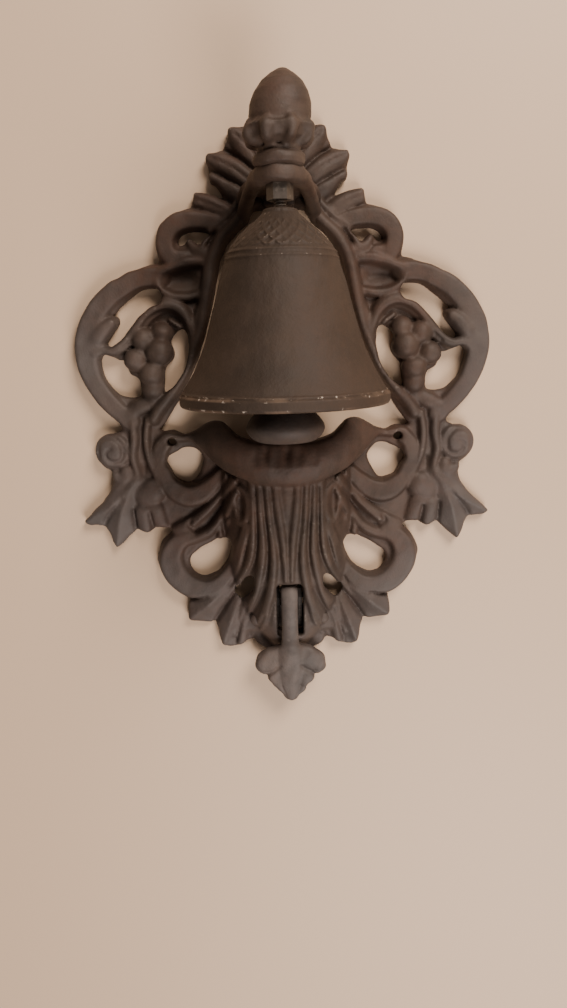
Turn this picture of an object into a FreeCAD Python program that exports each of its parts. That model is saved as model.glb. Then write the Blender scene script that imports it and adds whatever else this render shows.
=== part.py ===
"""Cast-iron wall bell with a pull lever: solids, one STEP file per piece.

Millimetres. X is right, Z is up and the wall is the plane Y = 0; the front of the bell looks
along -Y. Heights off the wall are written as positive numbers and turned into -Y by `at`.
"""
import FreeCAD, Part
import math
import os

V = FreeCAD.Vector

# ---- driving dimensions -------------------------------------------------------------------------
PLATE_THICK = 6.0          # openwork casting, general thickness
RIDGE_HEIGHT = 11.0        # raised frame around the bell
SCROLL_HEIGHT = 8.5        # raised rims of the scrolls and loops
WALL_SCREW_X = 58.5        # wall-screw holes left and right of the centre
WALL_SCREW_R = 2.25
LUG_R = 6.0

DOME = (34.0, 29.0, 88.0)  # half sizes of the fan's domed outside: width, height off wall, length
DOME_Z = -30.0             # its centre's level
HOLLOW = (30.5, 25.5, 82.0)  # half sizes of the hollow behind the fan
HOLLOW_Z = -26.0
SLOT_WIDTH = 12.8          # slot for the pull lever
SLOT_LOW, SLOT_TOP = -106.0, -73.5

BELL_AXIS = 53.4           # bell axis, off the wall
STUD_R = 3.0               # M6 stud
STUD_LOW, STUD_TOP = 84.0, 139.0
BELL_BORE_R = 3.08
NUT_FLATS, NUT_HEIGHT = 10.0, 5.0
LOCKNUT_LOW, LOCKNUT_TOP = 108.4, 115.0
BOSS_R, BOSS_LOW, BOSS_TOP = 10.3, 115.0, 123.0
CROWN_INSIDE = 97.0        # level of the bell's inner crown face
WASHER_THICK, WASHER_R = 1.6, 7.0

PIVOT = (12.0, -83.0)      # lever axle: off the wall, level
HUB_R, HUB_WIDTH = 5.0, 9.0
PIN_R, HUB_BORE_R = 1.5, 1.55
BALL = (45.0, 10.6)        # striker's axis off the wall, and the level of its widest rim
ARM_R = 2.5
RIVET = (18.0, -97.0)      # yoke rivets, left and right of the slot
RIVET_R, RIVET_HEAD_R = 2.0, 3.2
RIVET_SEAT = 10.6          # spot face under the rivet heads
SWAG_BACK, SWAG_FRONT = 25.5, 33.5
LEAF_REST = 10.3           # face of the plate that the handle's leaf rests on
BRACKET_SCREWS = {"lower": 117.0, "upper": 129.0}
SCREW_R, SCREW_HEAD_R, SCREW_HEAD_DEPTH = 2.0, 4.0, 2.2

# ---- outlines in the wall's plane: (x, z), right half, each run smooth and meeting at corners ----
EDGE = [
    [(0, 150.5), (21.5, 150)],
    [(21.5, 150), (23.2, 149), (24.3, 144), (26.5, 140.2)],
    [(26.5, 140.2), (30.4, 138.8), (33.9, 138.4)],
    [(33.9, 138.4), (34.7, 135.4), (33.5, 129.3), (33, 125.5), (30, 123), (26.7, 117.8)],
    [(26.7, 117.8), (34, 120.2), (40.5, 121.4)],
    [(40.5, 121.4), (43, 114)],
    [(43, 114), (49.5, 112.8), (57.5, 108), (61.2, 99.5), (61, 95), (60, 89)],
    [(60, 89), (70, 86.3), (86, 80), (98, 67.5), (105, 45.5), (98.5, 25), (89, 14), (84, 6.5)],
    [(84, 6.5), (93, 4.2), (98.4, -3.5), (94.7, -12.8), (90.5, -18.5)],
    [(90.5, -18.5), (95, -29.5), (107.8, -41.8)],
    [(107.8, -41.8), (100.5, -44), (94.3, -48.5), (91, -56.8)],
    [(91, -56.8), (80.3, -47)],
    [(80.3, -47), (74.3, -48.4), (68.5, -45.8), (61.3, -48)],
    [(61.3, -48), (69.3, -59), (68.2, -71.4), (54.1, -86.2)],
    [(54.1, -86.2), (55.4, -92.3), (53.8, -99)],
    [(53.8, -99), (40.7, -100.3)],
    [(40.7, -100.3), (38.8, -106), (37, -113.8)],
    [(37, -113.8), (27.8, -114), (22, -111.5), (17.5, -114)],
    [(17.5, -114), (9, -117.8), (0, -118.5)],
]
OPENING = [
    [(0, 112), (12.5, 112)],
    [(12.5, 112), (21.4, 101.4), (29.3, 90), (34, 70), (40, 50), (50, 28), (60, 12), (65, 6)],
    [(65, 6), (50, 3)],
    [(50, 3), (36, 3), (25, -1), (0, -1)],
]
HOLES = {
    "top_scroll": [(34.5, 101.5), (45, 102.6), (50.4, 98), (42, 97.5)],
    "ring_upper": [(60.5, 72), (64, 76.5), (76, 73), (87, 63), (86, 52.5), (79, 54), (70, 65)],
    "ring_lower": [(80, 40.5), (87, 44), (92.5, 42), (90, 31), (83, 23.8), (74, 24), (75, 34)],
    "lens": [(49.5, 55), (54, 54.5), (55, 45), (60, 37), (61, 26.5), (54, 30), (48, 42)],
    "loop": [(43, -9), (48, -4.5), (56, -5), (62, -10), (57, -20), (48, -21)],
    "bottom_scroll": [(31, -56), (38, -53.4), (48.5, -59.5), (51.6, -70), (44, -74), (34, -67)],
    "teardrop": [(19, -71.5), (24, -74), (26.5, -82), (23.5, -84), (18.5, -77)],
}
RIDGE_OUTSIDE = [(20, 114), (32, 101.5), (38, 89), (40.8, 71), (45.5, 54), (53.5, 37), (63, 24), (69, 17)]
LOOP_OUTSIDE = [(67, 6), (68, -10), (65, -25), (60, -33), (50, -35.5), (42, -32), (34, -26), (34, -4)]
CORNUCOPIA = [(45, 47), (46, 60), (52, 71), (62, 71), (72, 62), (80, 53), (90, 50), (84, 44),
              (74, 50), (64, 60), (57, 64), (51, 57)]
GRAPES = [(62, 56), (61.5, 45), (73, 43), (66, 33)]
GRAPE_R = 6.5
SWAG = [
    [(0, -20), (24, -15.5), (35, -10.5), (43, 3)],
    [(43, 3), (40, 9), (35, 11), (30, 10)],
    [(30, 10), (24, 4), (14, 1.2), (0, 0.6)],
]
LEAF_RIBS = [   # (start, end, width at the start, height off the wall)
    ((12, 118), (22, 148), 7, 11), ((17, 112), (33, 136), 8, 11), ((22, 108), (40, 120), 8, 10),
    ((40, 108), (59, 100), 6, SCROLL_HEIGHT), ((72, -22), (104, -41), 11, 9),
    ((72, -22), (91, -53), 11, 9), ((28, -72), (53, -96), 9, 11), ((20, -80), (36, -111), 10, 11),
    ((34, -44), (66, -56), 7, 9), ((66, -56), (64, -74), 6, 9), ((64, -74), (40, -83), 7, 10),
]
FAN_RIBS = [(7, 11), (14, 22), (21, 31)]      # half widths of the fan's ribs: under the swag, below
BELL_OUTSIDE = [(7, 105), (7.6, 103.4), (12.3, 99), (17.6, 94.5), (21.1, 90.6), (23.7, 86.8),
                (25.1, 82.7), (27.6, 75.3), (30.1, 65.8), (32.9, 56), (36, 46.6), (40.8, 36.7),
                (45.6, 28.8)]
BELL_LIP = [(47.2, 27), (47.2, 22.6), (46.6, 22.1), (43.6, 22.1)]
BELL_INSIDE = [(43.2, 24), (41.4, 29), (36.4, 36.7), (31.7, 46.6), (28.6, 56), (25.8, 65.8),
               (23.3, 75.3), (20.6, 83.5), (17, 89.5), (11, CROWN_INSIDE)]
FINIAL = [(STUD_R, 123), (9, 123), (10.6, 125.3), (9, 127.6), (7.2, 128.6), (8, 130), (14.8, 132.5),
          (14.2, 137), (13.2, 141), (12.9, 146), (10.8, 151.5), (6, 156.5), (0, 160), (0, STUD_TOP),
          (STUD_R, STUD_TOP)]
HOOK = [(8.5, -79.5), (14, -74.8), (21, -75), (25.5, -81), (26, -92), (24.5, -103), (17, -117),
        (10.5, -117), (10.5, -113.5), (17.5, -103), (19, -92), (18.5, -84.5), (15.5, -86)]
LEAF = [
    [(0, -110), (9, -112), (16.4, -116)],
    [(16.4, -116), (19.3, -123), (15.5, -127.5), (11.5, -130.5)],
    [(11.5, -130.5), (9.5, -134.5), (4.5, -138), (0, -143.5)],
]
LEAF_BACK, LEAF_FRONT = 10.5, 16.5
STRIKER = [(11.5, -6.6), (16.4, -4.2), (18.3, 0), (16.8, 3.3), (14.2, 6.4), (11.2, 9.3), (6.6, 12.1), (0, 13.6)]
ARM_PATH = [(13.2, -78.5), (15.5, -62), (18, -42), (19.4, -22), (19.6, -9), (20.8, 0), (26, 6.6), (36, 10.5)]


# ---- helpers ------------------------------------------------------------------------------------
def at(x, off_wall, z):
    """Point at x, a height off the wall, and a level."""
    return V(x, -off_wall, z)


def curve(points, off_wall=0.0):
    """One smooth edge through (x, z) points, or a straight one for two points."""
    spots = [at(x, off_wall, z) for x, z in points]
    if len(spots) == 2:
        return Part.makeLine(*spots)
    spline = Part.BSplineCurve()
    spline.interpolate(spots)
    return spline.toShape()


def mirrored_wire(runs, off_wall=0.0):
    """Closed outline from the runs of its right half and their mirror image."""
    left = [[(-x, z) for x, z in reversed(run)] for run in reversed(runs)]
    return Part.Wire([curve(run, off_wall) for run in runs + left])


def loop_wire(points, off_wall=0.0):
    """Closed smooth outline through the points."""
    spline = Part.BSplineCurve()
    spline.interpolate([at(x, off_wall, z) for x, z in points], PeriodicFlag=True)
    return Part.Wire([spline.toShape()])


def raised(wire, low, high):
    """Solid between two heights off the wall; the wire lies at the wall."""
    face = Part.Face(wire)
    face.translate(V(0, -low, 0))
    return face.extrude(V(0, low - high, 0))


def polygon(points, low, high):
    """Straight-sided solid between two heights off the wall."""
    spots = [at(x, 0, z) for x, z in points]
    return raised(Part.makePolygon(spots + spots[:1]), low, high)


def both(shape):
    """The shape and its mirror image across the centre plane."""
    return [shape, shape.mirror(V(0, 0, 0), V(1, 0, 0))]


def turned(points, x=0.0, off_wall=BELL_AXIS):
    """Solid of revolution about an upright axis, from (radius, z) points."""
    spots = [V(x + r, -off_wall, z) for r, z in points]
    face = Part.Face(Part.makePolygon(spots + spots[:1]))
    return face.revolve(V(x, -off_wall, 0), V(0, 0, 1), 360)


def side_slab(points, half_width):
    """Solid of constant width centred on x = 0, from (off wall, z) points."""
    spots = [at(-half_width, h, z) for h, z in points]
    return Part.Face(Part.makePolygon(spots + spots[:1])).extrude(V(2 * half_width, 0, 0))


def post(x, z, radius, low, high):
    """Round post square to the wall."""
    return Part.makeCylinder(radius, high - low, at(x, low, z), V(0, -1, 0))


def axle(x0, x1, radius, spot=PIVOT):
    """Round bar along X through a spot given as (off wall, z)."""
    return Part.makeCylinder(radius, x1 - x0, at(x0, *spot), V(1, 0, 0))


def upright(radius, low, high):
    """Round bar on the bell's axis."""
    return Part.makeCylinder(radius, high - low, at(0, BELL_AXIS, low))


def ellipsoid(half, centre):
    """Ellipsoid from its half sizes (x, off wall, z) and centre point."""
    scale = FreeCAD.Matrix()
    scale.scale(V(*half))
    shape = Part.makeSphere(1.0).transformGeometry(scale)
    shape.translate(centre)
    return shape


def nut(low, high):
    """Hex nut on the bell's stud."""
    corner = NUT_FLATS / math.sqrt(3)
    turns = [math.radians(60 * k) for k in range(7)]
    spots = [at(corner * math.cos(t), BELL_AXIS + corner * math.sin(t), low) for t in turns]
    body = Part.Face(Part.makePolygon(spots)).extrude(V(0, 0, high - low))
    return body.cut(upright(STUD_R, low - 1, high + 1))


def rib(start, end, width, height):
    """Tapered leaf rib lying on the plate."""
    dx, dz = end[0] - start[0], end[1] - start[1]
    length = math.hypot(dx, dz)
    nx, nz = -dz / length * width / 2, dx / length * width / 2
    tip = 0.25
    return polygon([(start[0] + nx, start[1] + nz), (start[0] - nx, start[1] - nz),
                    (end[0] - nx * tip, end[1] - nz * tip), (end[0] + nx * tip, end[1] + nz * tip)], 0, height)


# ---- the openwork casting -----------------------------------------------------------------------
def joined(shape, others):
    """The shape with each of the others added in turn."""
    for other in others:
        shape = shape.fuse(other)
    return shape


def without(shape, others):
    """The shape with each of the others cut away in turn."""
    for other in others:
        shape = shape.cut(other)
    return shape


def build_fan():
    """The fan's dome with its long ribs, before it is hollowed."""
    dome = ellipsoid(DOME, at(0, 0, DOME_Z)).common(Part.makeBox(90, 60, 120, V(-45, -60, -125)))
    taller = ellipsoid([half + 2 for half in DOME], at(0, 0, DOME_Z))
    ribs = []
    for near, far in FAN_RIBS:
        wedge = polygon([(near - 1.2, -14), (near + 1.2, -14), (far + 1.8, -104), (far - 1.8, -104)], 0, 60)
        ribs += both(wedge.common(taller))
    return [dome] + ribs


def build_back_plate():
    plate = raised(mirrored_wire(EDGE), 0, PLATE_THICK)
    adds = both(polygon(OPENING[1] + RIDGE_OUTSIDE[::-1], 0, RIDGE_HEIGHT))
    adds += both(polygon(LOOP_OUTSIDE, 0, SCROLL_HEIGHT))
    adds += both(raised(loop_wire(CORNUCOPIA), 0, 10))
    adds += both(post(89.5, -4, 8.5, 0, 10.5))
    adds += both(ellipsoid((8, 12, 8), at(72, 0, -27)))
    for start, end, width, height in LEAF_RIBS:
        adds += both(rib(start, end, width, height))
    plate = joined(plate, adds + build_fan())

    cuts = [raised(mirrored_wire(OPENING), -1, 60), ellipsoid(HOLLOW, at(0, 0, HOLLOW_Z))]
    cuts.append(Part.makeBox(SLOT_WIDTH, 60, SLOT_TOP - SLOT_LOW, V(-SLOT_WIDTH / 2, -50, SLOT_LOW)))
    cuts.append(Part.makeBox(51, 7, 12.4, V(-25.5, -6, RIVET[1] - 6.2)))
    cuts.append(Part.makeBox(42, 50, 16, V(-21, -50 - LEAF_REST, -124)))
    for points in HOLES.values():
        cuts += both(raised(loop_wire(points), -1, 60))
    plate = without(plate, cuts)

    adds = [raised(mirrored_wire(SWAG), SWAG_BACK, SWAG_FRONT)]
    adds += both(polygon([(33, -18), (41, -12), (43, 3), (36, 6), (33, -4)], 0, 28))
    adds += [ball for x, z in GRAPES for ball in both(Part.makeSphere(GRAPE_R, at(x, 8.5, z), V(0, -1, 0)))]
    adds += both(post(WALL_SCREW_X, 0, LUG_R, 0, PLATE_THICK))
    plate = joined(plate, adds)

    drills = both(post(WALL_SCREW_X, 0, WALL_SCREW_R, -1, 30))
    drills += both(post(*RIVET, RIVET_R, -1, 40)) + both(post(*RIVET, RIVET_HEAD_R + 0.5, RIVET_SEAT, 40))
    for z in BRACKET_SCREWS.values():
        drills += [post(0, z, SCREW_R, -1, 20), post(0, z, SCREW_HEAD_R, -1, SCREW_HEAD_DEPTH)]
    below = Part.makeBox(300, 20, 400, V(-150, 0, -200))
    return without(plate, drills + [below])


# ---- bracket, bell and the hardware on the bell's axis -------------------------------------------
def build_bracket():
    foot = PLATE_THICK
    arm = side_slab([(foot, 112.5), (16, 113.5), (38, BOSS_LOW), (BELL_AXIS, BOSS_LOW),
                     (BELL_AXIS, BOSS_TOP), (40, BOSS_TOP), (24, 126), (14, 133), (foot, 136)], 7.5)
    bracket = arm.fuse(upright(BOSS_R, BOSS_LOW, BOSS_TOP))
    cuts = [upright(STUD_R, BOSS_LOW - 1, BOSS_TOP + 1)]
    cuts += [post(0, z, SCREW_R, 0, 16) for z in BRACKET_SCREWS.values()]
    return bracket.cut(cuts).removeSplitter()


def build_bell():
    profile = ([(BELL_BORE_R, 105)] + BELL_OUTSIDE + BELL_LIP + BELL_INSIDE + [(BELL_BORE_R, CROWN_INSIDE)])
    rings = [Part.makeTorus(r, 0.8, at(0, BELL_AXIS, z)) for r, z in ((23.5, 87), (24.4, 84.5))]
    return turned(profile).fuse(rings)


def bracket_screw(z):
    return post(0, z, SCREW_HEAD_R, 0, SCREW_HEAD_DEPTH).fuse(post(0, z, SCREW_R, 0, 15.5))


# ---- pull lever and its pivot --------------------------------------------------------------------
def build_handle():
    leaf = raised(mirrored_wire(LEAF), LEAF_BACK, LEAF_FRONT)
    hook = side_slab(HOOK, HUB_WIDTH / 2)
    hub = axle(-HUB_WIDTH / 2, HUB_WIDTH / 2, HUB_R)
    spine = ellipsoid((3.5, 4.5, 16), at(0, LEAF_FRONT - 1.5, -124))
    handle = hub.fuse([hook, leaf, spine])
    return handle.cut([axle(-10, 10, HUB_BORE_R), arm_rod()]).removeSplitter()


def arm_rod():
    spots = [at(0, h, z) for h, z in ARM_PATH]
    path = Part.BSplineCurve()
    path.interpolate(spots)
    spine = Part.Wire([path.toShape()])
    direction = path.tangent(0)[0]
    ring = Part.Wire([Part.makeCircle(ARM_R, spots[0], direction)])
    return spine.makePipeShell([ring], True, False)


def build_striker(rod):
    """Round knob, widest at a low rim, pushed onto the end of the rod."""
    side = Part.BSplineCurve()
    side.interpolate([V(r, 0, z) for r, z in STRIKER])
    top, foot = V(0, 0, STRIKER[-1][1]), V(0, 0, STRIKER[0][1])
    lines = [Part.makeLine(top, foot), Part.makeLine(foot, V(STRIKER[0][0], 0, foot.z))]
    knob = Part.Face(Part.Wire([side.toShape()] + lines)).revolve(V(0, 0, 0), V(0, 0, 1), 360)
    knob.translate(at(0, *BALL))
    return knob.cut(rod)


def build_yoke():
    strap = Part.makeBox(50, 2, 12, V(-25, -6, RIVET[1] - 6))
    ear = side_slab([(4, -97), (4, -80), (9, -77.6), (15, -78.6), (16.6, -83), (14.5, -88), (8, -97)], 1)
    ears = [ear.translated(V(side * 5.85, 0, 0)) for side in (-1, 1)]
    drills = [axle(-10, 10, PIN_R)] + both(post(*RIVET, RIVET_R, -1, 40))
    return strap.fuse(ears).cut(drills).removeSplitter()


def rivet(side):
    x, z = side * RIVET[0], RIVET[1]
    front = ellipsoid((RIVET_HEAD_R, 2.0, RIVET_HEAD_R), at(x, RIVET_SEAT, z))
    head = front.common(post(x, z, 6, RIVET_SEAT, 20))
    tail = post(x, z, 3.0, 2.4, 4.0)
    return post(x, z, RIVET_R, 2.4, RIVET_SEAT + 0.5).fuse([head, tail])


def build_pin():
    bar = axle(-8.2, 9.6, PIN_R).fuse(axle(-8.2, -7.0, 2.7))
    return bar.cut(split_pin_bar())


def split_pin_bar():
    return Part.makeCylinder(0.55, 6, at(8.2, PIVOT[0] - 3.5, PIVOT[1]), V(0, -1, 0))


def build_split_pin():
    eye = Part.makeTorus(1.3, 0.5, at(8.2, PIVOT[0] - 4.6, PIVOT[1]), V(1, 0, 0))
    return split_pin_bar().fuse(eye)


def build_pieces():
    rod = arm_rod()
    inside_nuts = CROWN_INSIDE - WASHER_THICK
    pieces = {
        "back_plate": build_back_plate(),
        "hanger_bracket": build_bracket(),
        "bell_stud": upright(STUD_R, STUD_LOW, STUD_TOP),
        "stud_locknut": nut(LOCKNUT_LOW, LOCKNUT_TOP),
        "acorn_finial": turned(FINIAL),
        "bell": build_bell(),
        "bell_washer": upright(WASHER_R, inside_nuts, CROWN_INSIDE).cut(upright(STUD_R, 80, 110)),
        "bell_retaining_nut": nut(inside_nuts - NUT_HEIGHT, inside_nuts),
        "bell_jam_nut": nut(inside_nuts - 2 * NUT_HEIGHT + 1.5, inside_nuts - NUT_HEIGHT),
        "pull_handle": build_handle(),
        "striker_arm": rod,
        "striker_ball": build_striker(rod),
        "pivot_yoke": build_yoke(),
        "yoke_rivet_left": rivet(-1),
        "yoke_rivet_right": rivet(1),
        "pivot_pin": build_pin(),
        "pivot_split_pin": build_split_pin(),
    }
    for name, z in BRACKET_SCREWS.items():
        pieces["bracket_screw_" + name] = bracket_screw(z)
    return pieces


os.makedirs("parts", exist_ok=True)
for node, shape in build_pieces().items():
    shape.exportStep("parts/" + node + ".step")
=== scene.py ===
"""Cast-iron wall bell: sculpted castings, dull steel fasteners and their finishes.

Sizes in the classes are millimetres unless a name says otherwise. A point on the wall plane is
(x, z), and its height off the wall is kept apart as `lift`; meshes are written in metres with the
front of the bell looking along -Y.
"""
import logging
import math
from dataclasses import dataclass, field
from enum import Enum

import bpy
import numpy as np
from mathutils import Matrix, Vector


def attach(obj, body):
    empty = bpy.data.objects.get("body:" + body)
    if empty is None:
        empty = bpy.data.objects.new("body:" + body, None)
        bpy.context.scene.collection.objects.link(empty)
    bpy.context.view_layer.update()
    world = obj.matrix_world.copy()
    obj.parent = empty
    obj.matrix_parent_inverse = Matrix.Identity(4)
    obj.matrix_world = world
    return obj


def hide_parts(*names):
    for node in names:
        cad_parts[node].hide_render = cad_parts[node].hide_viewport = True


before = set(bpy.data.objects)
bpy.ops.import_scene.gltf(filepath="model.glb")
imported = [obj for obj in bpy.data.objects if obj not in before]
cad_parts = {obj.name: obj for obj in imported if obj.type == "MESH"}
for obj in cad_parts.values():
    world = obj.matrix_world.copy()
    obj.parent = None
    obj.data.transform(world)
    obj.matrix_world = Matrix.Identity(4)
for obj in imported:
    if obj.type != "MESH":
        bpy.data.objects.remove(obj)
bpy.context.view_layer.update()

log = logging.getLogger("wall_bell")

Point = tuple[float, float]
Spot = tuple[float, float, float]
Runs = list[list[Point]]
MM = 0.001


# ---- curves and distances ------------------------------------------------------------------------
def smooth_path(points: list[tuple[float, ...]], steps: int = 8, closed: bool = False) -> np.ndarray:
    """Samples a smooth curve through a few points.

    Args:
        points: The points it passes through, each of any dimension.
        steps: Samples between neighbouring points.
        closed: Whether the curve joins up with its start.

    Returns:
        One row per sample; an open curve ends on its last point.
    """
    knots = np.array(points, dtype=float)
    if len(knots) == 2 and not closed:
        share = np.linspace(0.0, 1.0, steps + 1)[:, None]
        return knots[0] * (1 - share) + knots[1] * share
    if closed:
        knots = np.vstack([knots[-1], knots, knots[0], knots[1]])
    else:
        knots = np.vstack([2 * knots[0] - knots[1], knots, 2 * knots[-1] - knots[-2]])
    share = np.linspace(0.0, 1.0, steps, endpoint=False)[:, None]
    parts = []
    for a, b, c, d in zip(knots[:-3], knots[1:-2], knots[2:-1], knots[3:]):
        bend = 2 * a - 5 * b + 4 * c - d
        parts.append(0.5 * (2 * b + (c - a) * share + bend * share**2 + (3 * b - 3 * c + d - a) * share**3))
    if not closed:
        parts.append(knots[-2][None, :])
    return np.vstack(parts)


def mirrored_outline(runs: Runs) -> np.ndarray:
    """Closed outline from the smooth runs of its right half and their mirror image.

    Args:
        runs: Runs of points (x, z), each drawn smooth and meeting the next in a corner.

    Returns:
        Points of the whole outline, one per row.
    """
    right = np.vstack([smooth_path(run)[:-1] for run in runs] + [np.array([runs[-1][-1]])])
    left = right[::-1] * [-1, 1]
    return np.vstack([right, left[1:-1]])


def edge_distance(outline: np.ndarray, across: np.ndarray, up: np.ndarray) -> np.ndarray:
    """Distance to a closed outline, negative inside it.

    Args:
        outline: Corners (x, z) in order.
        across: The x of each place.
        up: The z of each place, in the same shape.

    Returns:
        Signed distances in millimetres.
    """
    nearest = np.full(across.shape, 1e9)
    inside = np.zeros(across.shape, dtype=bool)
    for (x0, z0), (x1, z1) in zip(outline, np.roll(outline, -1, axis=0)):
        dx, dz = x1 - x0, z1 - z0
        length = dx * dx + dz * dz
        if length < 1e-12:
            continue
        share = np.clip(((across - x0) * dx + (up - z0) * dz) / length, 0, 1)
        gap = (across - x0 - share * dx) ** 2 + (up - z0 - share * dz) ** 2
        np.minimum(nearest, gap, out=nearest)
        if dz != 0:
            inside ^= ((z0 > up) != (z1 > up)) & (across < x0 + dx * (up - z0) / dz)
    return np.where(inside, -1, 1) * np.sqrt(nearest)


def soft_max(a: np.ndarray, b: np.ndarray, blend: float) -> np.ndarray:
    """The larger of two fields, rounded over a blend width where they cross."""
    mix = np.clip(0.5 + 0.5 * (a - b) / blend, 0, 1)
    return b * (1 - mix) + a * mix + blend * mix * (1 - mix)


def soft_min(a: np.ndarray, b: np.ndarray, blend: float) -> np.ndarray:
    """The smaller of two fields, rounded over a blend width where they cross."""
    return -soft_max(-a, -b, blend)


# ---- a block of voxels and the skin of what is in it ---------------------------------------------
@dataclass
class Block:
    """Grid of places that a casting is sculpted in, with axes x, lift and z."""

    low: Spot
    high: Spot
    step: float

    def __post_init__(self) -> None:
        """Lays out the grid."""
        ticks = [np.arange(a, b + self.step, self.step) for a, b in zip(self.low, self.high)]
        self.x, self.lift, self.z = np.meshgrid(*ticks, indexing="ij", sparse=True)
        self.shape = tuple(len(t) for t in ticks)

    def ball(self, centre: Spot, half: Spot) -> np.ndarray:
        """Field of an ellipsoid.

        Args:
            centre: Its middle (x, lift, z).
            half: Its half sizes in the same order.

        Returns:
            The field, negative inside.
        """
        here = (self.x, self.lift, self.z)
        reach = np.sqrt(sum(((v - c) / h) ** 2 for v, c, h in zip(here, centre, half)))
        return (reach - 1) * min(half)

    def tube(self, points: list[Spot], radii: list[float], flat: float = 1.0) -> np.ndarray:
        """Field of a rounded bar along a smooth path.

        Args:
            points: Path points (x, lift, z).
            radii: Radius at each of them.
            flat: Half width along x over the radius.

        Returns:
            The field, negative inside the bar.
        """
        path = smooth_path([(*p, r) for p, r in zip(points, radii)], 6)
        result = np.full(self.shape, 1e9)
        for a, b in zip(path[:-1], path[1:]):
            run = (b - a)[:3] / [flat, 1, 1]
            length = float(run @ run) or 1e-9
            gap = [(self.x - a[0]) / flat, self.lift - a[1], self.z - a[2]]
            share = np.clip(sum(g * r for g, r in zip(gap, run)) / length, 0, 1)
            reach = np.sqrt(sum((g - share * r) ** 2 for g, r in zip(gap, run)))
            np.minimum(result, reach - (a[3] + share * (b[3] - a[3])), out=result)
        return result

    def turned(self, profile: list[Point], centre: Point, lean: Point = (0.0, 0.0)) -> np.ndarray:
        """Field of a solid of revolution about an upright axis.

        Args:
            profile: Closed outline of (radius, z) on the right of the axis.
            centre: The axis, as (x, lift).
            lean: How far the axis moves over at each millimetre up, and the level it starts from.

        Returns:
            The field, negative inside.
        """
        slope, start = lean
        middle = centre[0] + slope * np.maximum(self.z - start, 0)
        radius = np.sqrt((self.x - middle) ** 2 + (self.lift - centre[1]) ** 2)
        outline = np.array(profile + [(-r, z) for r, z in reversed(profile)])
        radii = np.arange(0, float(radius.max()) + 1, self.step / 2)
        levels = self.z[0, 0, :]
        table = edge_distance(outline, *np.meshgrid(radii, levels, indexing="ij"))
        place = radius / (self.step / 2)
        index = np.minimum(place.astype(int), len(radii) - 2)
        share = place - index
        level = np.arange(len(levels))[None, None, :]
        return table[index, level] * (1 - share) + table[index + 1, level] * share

    def skin(self, solid: np.ndarray, relax: int = 2) -> tuple[np.ndarray, np.ndarray]:
        """Closed mesh of four-sided faces round the places where the field is negative.

        Args:
            solid: The field.
            relax: Rounds of evening out the vertices.

        Returns:
            Vertices in metres in the row frame, and faces.
        """
        solid = np.broadcast_to(solid, self.shape).copy()
        for axis in range(3):
            for end in (0, -1):
                edge: list[object] = [slice(None)] * 3
                edge[axis] = end
                solid[tuple(edge)] = np.maximum(solid[tuple(edge)], 0.01)
        inside = solid < 0
        count = np.zeros(tuple(n - 1 for n in self.shape), dtype=np.int8)
        for corner in np.ndindex(2, 2, 2):
            count += inside[tuple(slice(c, n - 1 + c) for c, n in zip(corner, self.shape))]
        active = (count > 0) & (count < 8)
        cells = np.argwhere(active)
        number = np.full(active.shape, -1, dtype=np.int64)
        number[active] = np.arange(len(cells))
        total, hits = np.zeros((len(cells), 3)), np.zeros(len(cells))
        faces = []
        for axis in range(3):
            unit = np.eye(3, dtype=int)[axis]
            one, two = [np.eye(3, dtype=int)[(axis + k) % 3] for k in (1, 2)]
            for near, far in ((0, 0), (0, 1), (1, 0), (1, 1)):
                start = cells + near * one + far * two
                end = start + unit
                here, there = solid[tuple(start.T)], solid[tuple(end.T)]
                crosses = (here < 0) != (there < 0)
                share = here[crosses] / (here[crosses] - there[crosses])
                total[crosses] += start[crosses] + share[:, None] * unit
                hits[crosses] += 1
            before = [slice(1, n - 1) for n in self.shape]
            after = list(before)
            before[axis], after[axis] = slice(0, self.shape[axis] - 1), slice(1, self.shape[axis])
            first, second = inside[tuple(before)], inside[tuple(after)]
            base = np.argwhere(first != second) + (1 - unit)
            ring = np.stack([number[tuple((base - a * one - b * two).T)]
                             for a, b in ((0, 0), (1, 0), (1, 1), (0, 1))], axis=1)
            outward = second[first != second]
            ring[outward] = ring[outward][:, ::-1]
            faces.append(ring)
        quads = np.vstack(faces)[:, ::-1]
        spots = total / hits[:, None]
        spots = relaxed(spots, quads, relax)
        spots = spots * self.step + np.array(self.low)
        return np.column_stack([spots[:, 0], -np.maximum(spots[:, 1], 0), spots[:, 2]]) * MM, quads


def relaxed(spots: np.ndarray, quads: np.ndarray, rounds: int) -> np.ndarray:
    """Evens out vertices without shrinking the shape.

    Args:
        spots: Vertices.
        quads: Faces.
        rounds: Pairs of a smoothing and a swelling pass.

    Returns:
        The moved vertices.
    """
    ends = np.vstack([quads[:, [k, (k + 1) % 4]] for k in range(4)])
    degree = np.bincount(ends.ravel(), minlength=len(spots)).astype(float)
    degree[degree == 0] = 1
    for weight in (0.55, -0.57) * rounds:
        pull = np.zeros_like(spots)
        for axis in range(3):
            pull[:, axis] = (np.bincount(ends[:, 0], spots[ends[:, 1], axis], len(spots))
                             + np.bincount(ends[:, 1], spots[ends[:, 0], axis], len(spots)))
        spots = spots + weight * (pull / degree[:, None] - spots)
    return spots


def lumps(places: tuple[np.ndarray, ...], size: float, seed: int) -> np.ndarray:
    """Slow random swell and dip, from -1 to 1, as sand casting leaves it.

    Args:
        places: Coordinates in millimetres, one array each.
        size: Rough distance between neighbouring lumps.
        seed: Seed of the random directions.

    Returns:
        The swell at each place.
    """
    dice = np.random.default_rng(seed)
    total: np.ndarray | float = 0.0
    for _ in range(7):
        way = dice.normal(size=len(places))
        way = way / np.linalg.norm(way) * 2 * math.pi / (size * dice.uniform(0.7, 1.5))
        total = total + np.sin(sum(w * p for w, p in zip(way, places)) + dice.uniform(0, 2 * math.pi))
    return total / 4.5


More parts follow.
